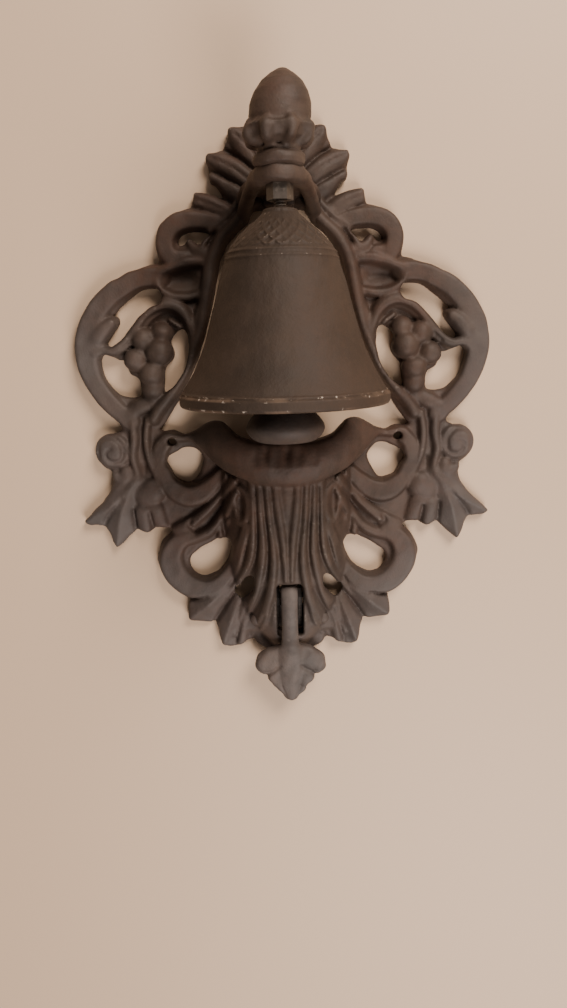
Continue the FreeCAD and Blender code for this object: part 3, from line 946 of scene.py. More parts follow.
    def strokes(self) -> list[Stroke]:
        """Every stroke of relief on the right half, laid in order.

        Returns:
            The strokes.
        """
        rnd, ridge, groove, band = Form.ROUND, Form.RIDGE, Form.GROOVE, Form.BAND
        marks = [
            # ring and its hook
            stroke(band, [(60, 82), (70, 81.3), (80, 77.3), (88, 71.5), (94.7, 63), (98.6, 54), (99, 44),
                          (96.5, 34),
                          (92, 24.5), (86, 17), (79, 11)], (5.2, 5.6, 6, 6.2, 6.2, 5.6, 5),
                          (3, 3.4, 3.6, 3.6, 3.2)),
            stroke(rnd, [(97, 48), (92.5, 53), (89, 57), (85.6, 59.6)], (4.8, 4.8, 4.6, 3.8),
                   (3.4, 4.6, 4.8, 4.2)),
            # top scroll with its inner leaf
            stroke(band, [(22, 103), (30, 105.8), (40, 107.8), (49, 107.2), (55, 102.6), (56.4, 96),
                          (53.6, 91),
                          (47, 90.6)], (3.4, 4.4, 5, 5.2, 5, 4), (3.5, 4.2, 4.4, 4.2, 3.2)),
            stroke(rnd, [(36, 91), (41, 94), (44.6, 98.4)], (5, 4, 1.5), (4.2, 3.4, 1.6)),
            stroke(rnd, [(24, 110.5), (33, 115.2), (41.2, 118)], (3.6, 4.6, 3.6), (3.4, 3.6, 2.4)),
            stroke(groove, [(27, 112), (40, 117.5)], 1.3, 0.8),
            # leaves behind the finial
            stroke(rnd, [(4, 122), (12, 136), (21.5, 148)], (8, 7, 3.6), (4.2, 4.6, 2.2)),
            stroke(rnd, [(8, 120), (20, 130), (33, 136.4)], (7, 6.4, 3.4), (4.4, 4.8, 2.2)),
            stroke(rnd, [(14, 117), (22, 121.5), (31.6, 127.4)], (5, 5, 3), (4, 4, 2)),
            stroke(groove, [(8, 126), (17, 134), (26.3, 140.2)], (1.4, 1.8, 1.6), (1.6, 2.6, 2.4)),
            stroke(groove, [(14, 120), (24, 126), (33, 130.6)], (1.2, 1.5, 1.4), (1.4, 2.2, 1.8)),
            stroke(groove, [(5, 127), (13, 139), (21, 147)], 1.0, 0.9),
            stroke(groove, [(12, 123.5), (22, 131), (33, 136.5)], 1.0, 0.9),
            # frame round the bell: a tall inner rim and a low outer one
            stroke(rnd, [(9, 118), (14.6, 113), (20.7, 105.9), (27.6, 99.6), (31.4, 93.4), (33.9, 87.4),
                         (35.6, 79.3),
                         (37.3, 70.5), (40, 58), (43.4, 49), (48, 39), (53, 31), (58, 24), (63, 18),
                         (67, 12)],
                   (3.6, 3.8, 4, 4, 3.8, 3.6, 3.4), (6.5, 6.6, 6.6, 6.4, 6, 5.6, 5)),
            stroke(rnd, [(18, 117), (26, 108.5), (33.5, 103), (38.5, 95), (40.6, 88)], (2, 2.2, 2.2, 1.8),
                   (4, 4.2, 4, 3)),
            stroke(rnd, [(41, 66), (44.4, 56), (48, 47.5), (53.6, 38), (60, 29), (67, 21)],
                   (1.8, 2, 2.2, 2.4),
                   (4.4, 4.6, 4.4, 3.6)),
            # socket beside the bell, between two leaf bands
            stroke(rnd, [(38.5, 88.6), (46, 88.6), (54, 86), (61, 83.6)], (3, 3.4, 3, 2.6), (4.4, 4.8, 4.4,
                                                                                             3.2)),
            stroke(rnd, [(40.4, 73), (47, 71.8), (54, 72.6), (60, 76), (62, 81)], (2.4, 2.6, 2.4, 2.2),
                   (4, 4.4, 4, 3)),
            stroke(groove, [(45, 80.4), (50, 80.8), (55.5, 80)], (5.4, 5.8, 4.8), (2.8, 3.2, 2.8)),
            # horn leaf over the grapes
            stroke(rnd, [(43.6, 47), (45.4, 57), (50.6, 66), (58, 68.4), (66, 65), (72.6, 57.8), (79, 50.4),
                         (86, 46.6), (94, 46)], (2.6, 3.2, 4, 4.4, 4.2, 3.8, 3.6, 3.8, 4),
                         (4.6, 5, 5.4, 5.6, 5.2, 4.6, 4)),
            stroke(groove, [(46.6, 52), (50, 61), (57, 65.4), (65, 62.6), (72, 55), (80, 48)], 1.1,
                   (1.6, 2, 1.6)),
            stroke(rnd, [(47.6, 47), (50.5, 56.5), (56, 61)], (1.3, 1.5, 1.2), (3.4, 3.8, 3)),
            # lower part of the ring and the neck down to the side leaf
            stroke(rnd, [(66, 22), (74, 18), (83, 12.5)], (4, 4.4, 3.6), (3.2, 3.6, 3)),
            stroke(rnd, [(70, 12), (71.4, 2), (70.4, -9), (66.6, -20)], (2, 2.2, 2.2, 1.8),
                   (3.8, 4.2, 4, 3)),
            stroke(rnd, [(78, 10), (77.6, 2), (79, -7), (77.4, -16)], (2.4, 2.6, 2.4, 2),
                   (3.6, 4, 3.6, 2.6)),
            stroke(groove, [(73.6, -12), (74, -17)], 2.4, (2, 1.6)),
            # round knob with its spiral
            stroke(rnd, [(88.8, -4), (90, -4)], 9.2, 4.6),
            stroke(groove, [(96, -7), (95.4, 1), (88.6, 3), (83.8, -2), (85, -8.6), (90.4, -9.2),
                            (92.6, -5),
                            (89.6, -2.6)], (1.3, 1.6, 1.6, 1.3, 1.1), (1.3, 1.5, 1.3, 1.1)),
            stroke(rnd, [(83, -15), (84.5, -19), (90, -17)], (3.4, 3.6, 2.6), (3, 3.4, 2.4)),
            # side leaf, its boss and petals
            stroke(ridge, [(78, -20), (90, -32), (106.6, -41.2)], (7, 9, 2.2), (4, 5, 1.4)),
            stroke(ridge, [(80, -22), (87, -38), (91, -55.4)], (7, 8, 2.2), (4, 4.6, 1.4)),
            stroke(ridge, [(82, -18), (88, -24), (93.4, -29)], (5, 4, 1.4), (3.4, 3, 1)),
            stroke(groove, [(86, -29), (95, -40), (97, -45)], (1.6, 2.2, 1.6), (1, 2, 1.4)),
            stroke(rnd, [(70.6, -26.2), (73.4, -27.8)], (7.4, 6.8), (4.6, 4.2)),
            stroke(rnd, [(70, -36), (66.5, -44.6)], (5.6, 4.2), (3.4, 2)),
            stroke(rnd, [(76, -37), (75, -46.6)], (5, 3.6), (3.4, 2)),
            stroke(groove, [(72, -37), (70.6, -46.4)], 1.3, (2, 1.6)),
            stroke(groove, [(80.6, -36), (80.4, -46.4)], 1.5, (2.4, 1.8)),
            # loop beside the swag
            stroke(band, [(60, 1.6), (65, -5), (63.8, -14), (59.6, -23), (52.6, -28.4), (45, -27.6),
                          (38.6, -23),
                          (33, -17)], (4, 4.4, 5.2, 6, 6, 5, 3.4), (3.4, 3.6, 4, 4.2, 4.4, 5)),
            stroke(rnd, [(49, 2.6), (55, 2.2), (62, 1.4)], (2.4, 2.8, 3), (3.4, 3, 3)),
            # wide leaf between the loop and the bottom scroll
            stroke(rnd, [(27, -19), (36, -31), (46, -41), (58, -47.6)], (2.4, 3, 4, 4), (3.8, 4.6, 4.2,
                                                                                         2.8)),
            stroke(rnd, [(26, -25), (33, -38), (41, -48), (51, -52.6)], (2, 2.4, 3, 3), (3.6, 4.4, 4.2, 3)),
            stroke(rnd, [(31.6, -41), (34.6, -46.4), (35.8, -52)], (2, 2.4, 1.8), (3, 3.6, 2.4)),
            stroke(groove, [(29, -25), (38, -37), (48, -46)], (1.2, 1.8, 1.6), (1.6, 2.6, 2)),
            stroke(groove, [(50.4, -42), (52, -44.4), (50, -46)], (1.4, 1.6), (1.8, 1.8), ),
            stroke(groove, [(33, -44), (34, -48)], 1.5, 1.8),
            # bottom scroll
            stroke(band, [(52, -50.6), (58.8, -54.4), (62.4, -62), (61, -70), (55.4, -77), (47.6, -80.2),
                          (39.6, -78.8),
                          (33, -73), (28.4, -65), (25, -54), (21, -42)],
                   (4, 5.6, 6.8, 7, 6.6, 5.4, 4.4, 3.6, 2.8, 2.2), (3.6, 4, 4.2, 4.2, 4.2, 4, 3.6, 3.2,
                                                                    2.6)),
            # lower leaves of the fan and their tips
            stroke(ridge, [(33, -80), (44, -89), (54, -97.4)], (6, 8, 2.4), (3, 4.4, 1.6)),
            stroke(ridge, [(27, -86), (32, -99), (36.6, -112.4)], (5.4, 7.4, 2.2), (3, 4.8, 1.6)),
            stroke(rnd, [(24, -87.6), (25.4, -99), (26.6, -111.4)], (2.6, 4, 3), (3, 3.6, 2)),
            stroke(groove, [(29.6, -83), (35.6, -92), (40.6, -99.6)], (1.2, 2.2, 2), (1.4, 3, 2.4)),
            stroke(groove, [(22.6, -90), (27, -102), (29.6, -112)], (1.1, 1.5, 1.3), (1.4, 2, 1.4)),
            stroke(groove, [(13.4, -92), (17.6, -104), (20.4, -111.6)], (1.1, 1.5, 1.4), (1.4, 2, 1.6)),
            stroke(groove, [(44, -84.4), (50.4, -86), (54, -86.6)], (1.2, 1.8, 1.6), (1.4, 2.4, 2)),
        ]
        return marks + self.fan_ribs()

    def fan_ribs(self) -> list[Stroke]:
        """The fan's long ribs, its oval eyes and the two dimples by the slot.

        Returns:
            The strokes.
        """
        rnd, groove = Form.ROUND, Form.GROOVE
        return [
            stroke(rnd, [(6.2, -18), (4.8, -32), (2.8, -48), (1.8, -62), (1.6, -71)], (2.4, 2.2, 1.7, 1.2),
                   (1.5, 1.8, 1.6)),
            stroke(rnd, [(0, -22), (0, -38)], (2.8, 1.2), (0.9, 0.4)),
            stroke(rnd, [(10.4, -18), (9, -34), (7.4, -52), (8.2, -68), (10.8, -82), (15, -96), (19, -107)],
                   (2.4, 2.5, 2.3, 2.3, 2.6, 2.8, 2.2), (1.7, 2.0, 2.2, 2.6, 2.8, 2.4, 1.6)),
            stroke(rnd, [(14.2, -18), (13.6, -34), (13, -50), (14.6, -65), (18.4, -80), (24.4, -95),
                         (30, -107)],
                   (2.2, 2.3, 2.4, 2.2, 2.3, 2.4, 1.8), (1.8, 2.2, 2.2, 2.4, 2.6, 2.6, 1.8)),
            stroke(rnd, [(17.6, -19), (17.4, -34), (18.2, -50), (21, -62), (26.8, -74), (33, -85)],
                   (1.9, 2.1, 2.2, 2.1, 2.2, 1.8), (2.2, 2.6, 2.6, 2.8, 3.0, 2.2)),
            stroke(rnd, [(25, -22), (21, -24.4), (19.8, -31), (21, -37.6), (24, -40.4), (26.6, -35.6),
                         (27, -28)],
                   1.7, 2.2, True),
            stroke(groove, [(23.4, -27.6), (23.2, -35)], (2.2, 2.0), 1.7),
            stroke(groove, [(8.2, -20), (7, -40), (5, -58)], 1.5, (0.9, 1.3, 0.8)),
            stroke(groove, [(12.2, -20), (11.2, -40), (10.2, -56), (11.6, -70)], 1.4, (0.9, 1.5, 1.3, 0.8)),
            stroke(groove, [(15.9, -22), (15.6, -42), (16.6, -58), (20.4, -69)], 1.3, (1.0, 1.6, 1.5, 1.1)),
            stroke(groove, [(12.8, -76), (17.6, -88), (24, -102)], 1.6, (1.0, 1.9, 1.3)),
            stroke(groove, [(8.8, -84), (11, -98)], 1.4, (0.8, 1.0)),
        ]

    def relief(self) -> tuple[np.ndarray, np.ndarray]:
        """Fine maps of the front's height and of the distance to the casting's edges.

        Returns:
            Two maps indexed by x and z.
        """
        across, up = np.meshgrid(np.arange(0, 110, self.map_step), np.arange(-122, 154, self.map_step),
                                 indexing="ij")
        share = 1 - (across / self.dome[0]) ** 2 - ((up - self.dome_level) / self.dome[2]) ** 2
        dome = np.where((share > 0) & (up < -10), self.dome[1] * np.sqrt(np.maximum(share, 0)), 0)
        ground = soft_max(np.full_like(across, self.thickness), dome, 3.0)
        front = Relief(across, up, ground)
        for mark in self.strokes():
            front.add(mark)
        gap = edge_distance(mirrored_outline(self.edge), across, up)
        gap = np.maximum(gap, -edge_distance(mirrored_outline(self.opening), across, up))
        for points in self.holes.values():
            gap = np.maximum(gap, -edge_distance(smooth_path(points, 6, True), across, up))
        heights = worn(front.heights(), 3)
        past = np.maximum(across - 25.6, 0) + np.maximum(np.abs(up + 97) - 6.6, 0)
        heights = soft_max(heights, 8.2 - 0.9 * past, 1.6)
        x, z, _ = self.wall_screw
        lug = np.hypot(across - x, up - z) - 5.6
        gap = soft_min(gap, lug, 1.5)
        return heights, gap

    def swag(self, block: Block) -> np.ndarray:
        """Field of the swag: a thick lip that stands forward of the fan, with curled ends.

        Args:
            block: The block to fill.

        Returns:
            The field, negative inside.
        """
        across, up = np.meshgrid(block.x[:, 0, 0], block.z[0, 0, :], indexing="ij")
        gap = edge_distance(mirrored_outline(self.swag_edge), across, up)
        reach = np.abs(across)
        crest = np.interp(reach, [0, 8, 16, 24, 31, 36, 42, 47, 52], [34.5, 34.4, 33.4, 31, 27.4, 23.4,
                                                                      16.6, 11.4, 8])
        middle = np.interp(reach, [0, 15, 30, 40, 52], [-11, -9, -3, 1, 2])
        half = np.interp(reach, [0, 15, 30, 40, 52], [11, 11, 10.5, 8, 4])
        bulge = crest - 4.6 * np.clip(np.abs(up - middle) / half, 0, 1.2) ** 2
        for x, z, depth, width in ((0.8, -4.2, 2.2, 2.0), (-9.6, -3.8, 1.8, 1.7), (6.6, -5, 1.2, 2.2),
                                   (-4.4, -6, 1.0, 2.0), (14, -6.4, 1.0, 2.4), (-15, -6, 1.1, 2.4)):
            bulge = bulge - depth * np.exp(-(((across - x) / width) ** 2 + ((up - z) / 4.0) ** 2))
        bulge = bulge + 0.35 * lumps((across, up), 13, 5)
        back = np.maximum(crest - 11.5 + 0.25 * np.clip(-up, 0, 20), 4)
        body = soft_max(gap[:, None, :], block.lift - bulge[:, None, :], 2.2)
        return soft_max(body, back[:, None, :] - block.lift, 1.2)

    def solid(self, block: Block) -> np.ndarray:
        """Field of the whole casting in a block.

        Args:
            block: The block to fill.

        Returns:
            The field, negative inside.
        """
        heights, gap = self.relief()
        front = sampled(heights, 0, -122, self.map_step, block)
        edge = sampled(gap, 0, -122, self.map_step, block)
        slope_x, slope_z = np.gradient(heights, self.map_step)
        steep = sampled(np.sqrt(1 + slope_x**2 + slope_z**2), 0, -122, self.map_step, block)
        swell = 0.28 * lumps((block.x, block.z), 17, 3) + 0.16 * lumps((block.x, block.z), 7, 4)
        plate = soft_max(edge + 0.25 * lumps((block.x, block.z), 9, 8),
                         (block.lift - front - swell) / steep, 2.4)
        plate = np.maximum(plate, -block.lift)
        for (x, z), radius, lift in self.grapes:
            for side in (-1, 1):
                dents = 0.3 * lumps((block.x, block.lift, block.z), 6, 9)
                plate = soft_min(plate, block.ball((side * x, lift, z), (radius,) * 3) + dents, 1.6)
        swag = self.swag(block)
        plate = soft_min(plate, swag, 2.0)
        plate = np.maximum(plate, -block.ball((0, 0, self.hollow_level), self.hollow))
        low, top = self.slot_levels
        corner = self.slot_corner
        beside = np.abs(block.x - 0.4) - self.slot_half_width + corner
        beyond = np.abs(block.z - (low + top) / 2) - (top - low) / 2 + corner
        slot = (np.hypot(np.maximum(beside, 0), np.maximum(beyond, 0)) + np.minimum(np.maximum(beside,
                                                                                               beyond), 0)
                - corner)
        plate = soft_max(plate, -slot, 1.5)
        eye_x, eye_lift, eye_z = self.eye_hollow
        for side in (-1, 1):
            plate = soft_max(plate, -block.ball((side * eye_x, 0, eye_z), (9.0, eye_lift, 11.0)), 1.0)
        pocket = np.maximum(np.maximum(np.abs(block.x) - 25.6, np.abs(block.z + 97) - 6.4),
                            block.lift - 6.0)
        plate = np.maximum(plate, -pocket)
        x, z, radius = self.wall_screw
        for side in (-1, 1):
            plate = np.maximum(plate, radius - np.hypot(block.x - side * x, block.z - z))
        for level in (117.0, 129.0):
            near = np.hypot(block.x, block.z - level)
            plate = np.maximum(plate, -np.maximum(near - 4.1, block.lift - 2.2))
            plate = np.maximum(plate, 2.1 - near)
        return np.maximum(plate, -block.lift)

    def build(self, material: bpy.types.Material) -> None:
        """Sculpts the casting in one piece.

        Args:
            material: The finish.
        """
        block = Block((-110.0, -0.85, -120.4), (110.0, 37.0, 152.0), self.step)
        vertices, faces = block.skin(self.solid(block))
        casting = make_piece("back_casting", vertices, faces, "wall_frame", material,
                             ("back_plate",))
        fewer = casting.modifiers.new("fewer faces on flat parts", "DECIMATE")
        fewer.ratio = self.kept_faces


# ---- bracket and finial --------------------------------------------------------------------------
@dataclass
class HangerBracket:
    """Arched bracket: two straps rise from the bell's frame to a boss that holds the stud."""

    axis_lift: float = 53.4
    boss_radius: float = 10.3
    boss_levels: Point = (115.0, 123.0)

    def build(self, material: bpy.types.Material) -> None:
        """Sculpts the bracket.

        Args:
            material: The finish.
        """
        block = Block((-20.0, 4.6, 104.0), (20.0, 65.0, 138.0), 0.6)
        low, top = self.boss_levels
        radius = np.hypot(block.x, block.lift - self.axis_lift)
        tall = np.abs(block.z - (low + top) / 2) - (top - low) / 2
        body = soft_max(radius - self.boss_radius + 0.1 * (block.z - low), tall, 3.2)
        for side in (-1, 1):
            strap = block.tube([(side * 18, 5, 107.5), (side * 16.8, 11, 110.4), (side * 14.8, 22, 114),
                                (side * 12.4, 34, 116.8), (side * 10.4, 46, 118.2), (side * 8.2, 54,
                                                                                     118.6)],
                               [3.4, 3.4, 3.3, 3.3, 3.5, 3.2])
            outer = block.tube([(side * 19.2, 5, 114.5), (side * 16.8, 14, 118.2), (side * 13, 26, 120),
                                (side * 9, 40, 120.4)], [2.4, 2.6, 2.4, 2.2])
            body = soft_min(body, soft_min(strap, outer, 1.8), 2.6)
        web = np.maximum(np.abs(block.x) - 15 + 0.16 * block.lift,
                         np.abs(block.z - 119.4 + 0.02 * block.lift) - 2.4)
        web = np.maximum(web, block.lift - 48)
        front = 17.6 - 0.5 * np.maximum(block.z - 131, 0)
        foot = soft_max(soft_max(np.abs(block.x) - 7.4, np.abs(block.z - 123.5) - 11.6, 2),
                        block.lift - front, 2.5)
        body = soft_min(soft_min(body, web, 2.4), foot, 3.0)
        body = np.maximum(body, 5.2 - block.lift)
        body = np.maximum(body + 0.22 * lumps((block.x, block.lift, block.z), 8, 12), 3.05 - radius)
        body = np.maximum(np.maximum(body, 5.2 - block.lift), np.minimum(block.z - 122.98, block.lift - 44))
        vertices, faces = block.skin(body)
        make_piece("bracket_casting", vertices, faces, "wall_frame", material,
                   ("hanger_bracket",))


@dataclass
class AcornFinial:
    """Acorn in its leafy cup, with the collar that screws down on the bracket's boss."""

    axis_lift: float = 53.4
    lean: float = 0.075
    lobes: int = 8
    seed: int = 14

    def build(self, material: bpy.types.Material) -> None:
        """Sculpts the finial.

        Args:
            material: The finish.
        """
        block = Block((-17.0, self.axis_lift - 16.5, 120.4), (17.6, self.axis_lift + 16.5, 160.4), 0.5)
        centre = (0.0, self.axis_lift)
        collar = block.turned([(0, 121.4), (9.6, 121.4), (11.0, 122.4), (11.3, 124.0), (10.8, 126),
                               (9.2, 127.2),
                               (0, 127.4)], centre)
        ring = block.turned([(0, 127), (8.2, 127.2), (9.1, 128), (9.0, 129), (8.0, 129.6), (0, 129.6)],
                            centre)
        neck = block.turned([(0, 127), (7.0, 127), (6.6, 128.8), (7.8, 130.4), (8.8, 133), (0, 133)],
                            centre)
        acorn = block.turned([(0, 131), (9, 131), (12.2, 136), (13.1, 141), (12.9, 146), (11.4, 150.6),
                              (8.8, 154.4),
                              (5.4, 157.4), (2.2, 159.3), (0, 159.8)], centre, (self.lean, 131.0))
        cup = block.turned([(0, 130), (8.6, 130.4), (12.4, 132), (14.6, 134.4), (14.4, 136.8),
                            (12.6, 138.2), (0, 138.4)],
                           centre)
        collar = soft_min(collar, ring, 0.5)
        body = soft_min(soft_min(soft_min(collar, neck, 0.8), acorn, 1.0), cup, 1.6)
        dice = np.random.default_rng(self.seed)
        for k in range(self.lobes):
            turn = 2 * math.pi * (k + 0.5) / self.lobes
            out, side, tip = math.cos(turn), math.sin(turn), dice.uniform(137.2, 138.6)
            path = [(r * side, self.axis_lift + r * out, z) for r, z in ((8.6, 131), (12.6, 132.6),
                                                                         (13.6, 135.4), (12.9, tip))]
            body = soft_min(body, block.tube(path, [2.2, 2.6, 2.4, 1.4]), 1.6)
            dip = 2 * math.pi * k / self.lobes
            pit = (15.6 * math.sin(dip), self.axis_lift + 15.6 * math.cos(dip), dice.uniform(132.8, 134.6))
            body = soft_max(body, -block.ball(pit, (2.6, 2.4, 2.4)), 2.2)
        low_part = np.clip((141 - block.z) / 5, 0, 1)
        body = body + (0.12 + 0.4 * low_part) * lumps((block.x, block.lift, block.z), 7, 21)
        vertices, faces = block.skin(body)
        make_piece("acorn_casting", vertices, faces, "wall_frame", material, ("acorn_finial",
                                                                                            ))


# ---- bell ----------------------------------------------------------------------------------------
@dataclass
class BellCasting:
    """The bell: thin crown, rope lattice under it, two raised lines and a thick worn lip."""

    axis_lift: float = 53.4
    around: int = 416
    bore: float = 3.08
    lattice: Point = (88.2, 99.4)
    lattice_cells: int = 24
    outside: list[Point] = field(default_factory=lambda: [
        (6.2, 105.0), (7.4, 104.4), (7.9, 103.2), (9.4, 101.8), (12.5, 98.9), (17.6, 94.5), (21.1, 90.6),
        (23.7, 86.8), (25.1, 82.7), (27.6, 75.3), (30.1, 65.8), (32.9, 56.0), (36.0, 46.6), (40.6, 36.7),
        (44.4, 30.4), (45.6, 28.2)])
    lip: list[Point] = field(default_factory=lambda: [
        (45.9, 27.7), (46.8, 27.0), (47.1, 26.2), (47.1, 23.8), (46.8, 22.7), (46.0, 22.15), (44.4, 22.1)])
    inside: list[Point] = field(default_factory=lambda: [
        (43.4, 22.9), (43.0, 24.4), (41.2, 29.0), (36.2, 36.7), (31.5, 46.6), (28.4, 56.0), (25.6, 65.8),
        (23.1, 75.3), (20.4, 83.5), (16.8, 89.5), (11.0, 96.6), (3.2, 97.0)])

    def profile(self) -> np.ndarray:
        """Section from the bore over the crown, down, round the lip and up the inside, as (radius, z).

        Returns:
            Points (radius, z), one per row.
        """
        wall = smooth_path(self.outside, 9)
        skirt = smooth_path(self.lip, 4)
        lining = smooth_path(self.inside, 4)
        return np.vstack([[(self.bore, 105.0)], wall, skirt, lining, [(self.bore, 97.0)]])

    def relief(self, turn: np.ndarray, level: np.ndarray) -> np.ndarray:
        """Rope lattice, raised lines and casting swell on the outside.

        Args:
            turn: Angle round the axis.
            level: Height.

        Returns:
            How far the surface stands proud.
        """
        low, high = self.lattice
        part = np.clip((level - low) / (high - low), -0.3, 1.3)
        cells = turn * self.lattice_cells / (2 * math.pi)
        ropes = np.zeros(np.broadcast(turn, level).shape)
        for way in (-1, 1):
            shift = (cells + way * part * 2.6) % 1.0
            off = np.minimum(shift, 1 - shift)
            strand = np.exp(-((off / 0.17) ** 2))
            twist = 0.84 + 0.16 * np.cos(2 * math.pi * (part * 13 + way * shift))
            ropes = np.maximum(ropes, strand * twist)
        fade = np.clip((level - low) / 0.8, 0, 1) * np.clip((high + 0.6 - level) / 1.0, 0, 1)
        patch = np.clip(0.66 + 0.5 * lumps((20 * np.sin(turn), 20 * np.cos(turn), level), 15, 31), 0.15,
                        1.0)
        proud = 0.9 * ropes * fade * patch
        for height, size in ((87.0, 0.5), (84.4, 0.45), (28.2, 0.5)):
            proud = proud + size * np.exp(-(((level - height) / 0.5) ** 2))
        x, y = 30 * np.cos(turn), 30 * np.sin(turn)
        places = (x, y, level + 0 * turn)
        return proud + 0.18 * lumps(places, 15, 33) + 0.08 * lumps(places, 5, 34) + 0.05 * lumps(places,
                                                                                                 2.4, 35)

    def build(self, material: bpy.types.Material) -> None:
        """Makes the bell as one closed mesh of rings.

        Args:
            material: The finish.
        """
        section = self.profile()
        turn = np.linspace(0, 2 * math.pi, self.around, endpoint=False)[None, :]
        radius, level = section[:, :1], section[:, 1:]
        outer = len(smooth_path(self.outside, 9)) + 1
        proud = self.relief(turn, level + 0 * turn)
        share = np.zeros(len(section))
        share[3:outer] = 1
        share[outer:outer + len(smooth_path(self.lip, 4))] = 0.35
        full = radius + np.minimum(proud * share[:, None], 47.2 - radius + 0.05)
        vertices = np.stack([full * np.sin(turn), -self.axis_lift - full * np.cos(turn),
                             level + 0 * turn], axis=-1).reshape(-1, 3) * MM
        faces = np.array(wrapped_faces(len(section), self.around))
        last = (len(section) - 1) * self.around
        closing = [(last + k, last + (k + 1) % self.around, (k + 1) % self.around,
                    k) for k in range(self.around)]
        faces = np.vstack([faces, closing])
        make_piece("bell_casting", vertices, faces[:, ::-1], "bell", material, ("bell",))


# ---- pull lever ----------------------------------------------------------------------------------
@dataclass
class PullHandle:
    """Leaf-shaped pull with its hooked arm and the hub that turns on the pivot pin."""

    pivot: Point = (12.0, -83.0)
    hub_radius: float = 5.0
    half_width: float = 4.5
    bore: float = 1.55
    leaf: Runs = field(default_factory=lambda: [
        [(0, -111), (7, -111.6), (13, -113.2), (17.2, -116.2), (19.2, -120.6), (18.4, -124.8),
         (15.8, -127.4),
         (13, -128.6)],
        [(13, -128.6), (12.2, -131.2), (10, -133.8), (8.2, -135.6)],
        [(8.2, -135.6), (5.6, -139.2), (2.6, -142.4), (0, -143.4)],
    ])

    def build(self, material: bpy.types.Material) -> None:
        """Sculpts the handle.

        Args:
            material: The finish.
        """
        block = Block((-20.6, 6.0, -144.4), (20.6, 28.6, -72.6), 0.5)
        across, up = np.meshgrid(block.x[:, 0, 0], block.z[0, 0, :], indexing="ij")
        gap = edge_distance(mirrored_outline(self.leaf), across, up)
        side = Relief(np.abs(across), up, np.full_like(across, 14.8))
        side.add(stroke(Form.ROUND, [(0, -108), (0, -120), (0, -132), (0, -141)], (6.4, 7, 5, 2),
                        (4.2, 2.8, 1.4, 0.6)))
        side.add(stroke(Form.ROUND, [(4, -114), (9, -118), (13.6, -121)], (6, 6.4, 4.4), (1.5, 1.6, 0.9)))
        side.add(stroke(Form.ROUND, [(3, -124), (7, -129), (8.6, -132)], (5, 5, 3), (0.9, 0.9, 0.5)))
        side.add(stroke(Form.GROOVE, [(5.6, -122), (9.6, -125.6), (14, -128.6)], (1.4, 1.8, 1.6),
                        (0.5, 0.9, 1.0)))
        front = side.heights()[:, None, :] + 0.3 * lumps((block.x, block.z), 8, 41)
        leaf = soft_max(gap[:, None, :] + 0.45 * lumps((block.x, block.z), 6, 42), block.lift - front, 2.0)
        leaf = soft_max(leaf, 10.6 - block.lift, 1.2)
        arm = block.tube([(0, 12.0, -80.4), (0, 16.6, -77.4), (0, 21.4, -78), (0, 23.4, -83),
                          (0, 23.2, -92),
                          (0, 21.0, -101.6), (0, 17.0, -109), (0, 13.6, -114), (0, 11.6, -119)],
                         [2.7, 2.7, 2.8, 2.7, 2.6, 2.7, 3.0, 3.6, 4.2], flat=1.62)
        lift, level = self.pivot
        hub = soft_max(np.hypot(block.lift - lift, block.z - level) - self.hub_radius,
                       np.abs(block.x) - self.half_width, 0.5)
        body = soft_min(soft_min(leaf, arm, 3.6), hub, 1.2)
        body = np.maximum(body, self.bore + 0.1 - np.hypot(block.lift - lift, block.z - level))
        body = np.maximum(body, np.minimum(10.4 - block.lift, -105 - block.z))
        vertices, faces = block.skin(body)
        make_piece("pull_casting", vertices, faces, "lever", material, ("pull_handle",))


# ---- stud and other hardware ---------------------------------------------------------------------
@dataclass
class ThreadedStud:
    """Stud with a real coarse thread."""

    axis_lift: float = 53.4
    radius: float = 3.0
    pitch: float = 1.0
    depth: float = 0.55
    levels: Point = (84.0, 138.9)
    around: int = 40

    def build(self, material: bpy.types.Material) -> None:
        """Makes the thread as rings whose radius follows a helix.

        Args:
            material: The finish.
        """
        low, high = self.levels
        rows = int((high - low) / self.pitch * 8)
        level = np.linspace(low, high, rows)[:, None]
        turn = np.linspace(0, 2 * math.pi, self.around, endpoint=False)[None, :]
        phase = (level / self.pitch - turn / (2 * math.pi)) % 1.0
        cut = np.clip(1.5 - np.abs(phase - 0.5) * 4, 0, 1)
        radius = self.radius - self.depth * cut
        vertices = np.stack([radius * np.sin(turn), -self.axis_lift - radius * np.cos(turn),
                             level + 0 * turn],
                            axis=-1).reshape(-1, 3) * MM
        faces = [tuple(reversed(f)) for f in wrapped_faces(rows, self.around)]
        ends = [[k for k in range(self.around)],
                [(rows - 1) * self.around + k for k in reversed(range(self.around))]]
        make_piece("threaded_stud", vertices, faces + ends, "wall_frame", material,
                   ("bell_stud",))


def dress_hardware(finishes: Finishes) -> None:
    """Gives each CAD node that stays in view its finish and softened edges.

    Args:
        finishes: The materials.
    """
    dressing = {"stud_locknut": finishes.steel, "bell_washer": finishes.steel,
                "bell_retaining_nut": finishes.steel,
                "bell_jam_nut": finishes.steel, "bracket_screw_lower": finishes.steel,
                "bracket_screw_upper": finishes.steel, "striker_arm": finishes.steel,
                "striker_ball": finishes.ball,
                "pivot_yoke": finishes.ball, "yoke_rivet_left": finishes.frame,
                "yoke_rivet_right": finishes.frame,
                "pivot_pin": finishes.ball, "pivot_split_pin": finishes.ball}
    for name, material in dressing.items():
        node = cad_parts[name]
        node.data.materials.clear()
        node.data.materials.append(material)
        bevel = node.modifiers.new("softened edges", "BEVEL")
        bevel.width = 0.35 * MM
        bevel.segments = 2
        bevel.limit_method = "ANGLE"
        log.info("%s: dressed as %s", name, material.name)


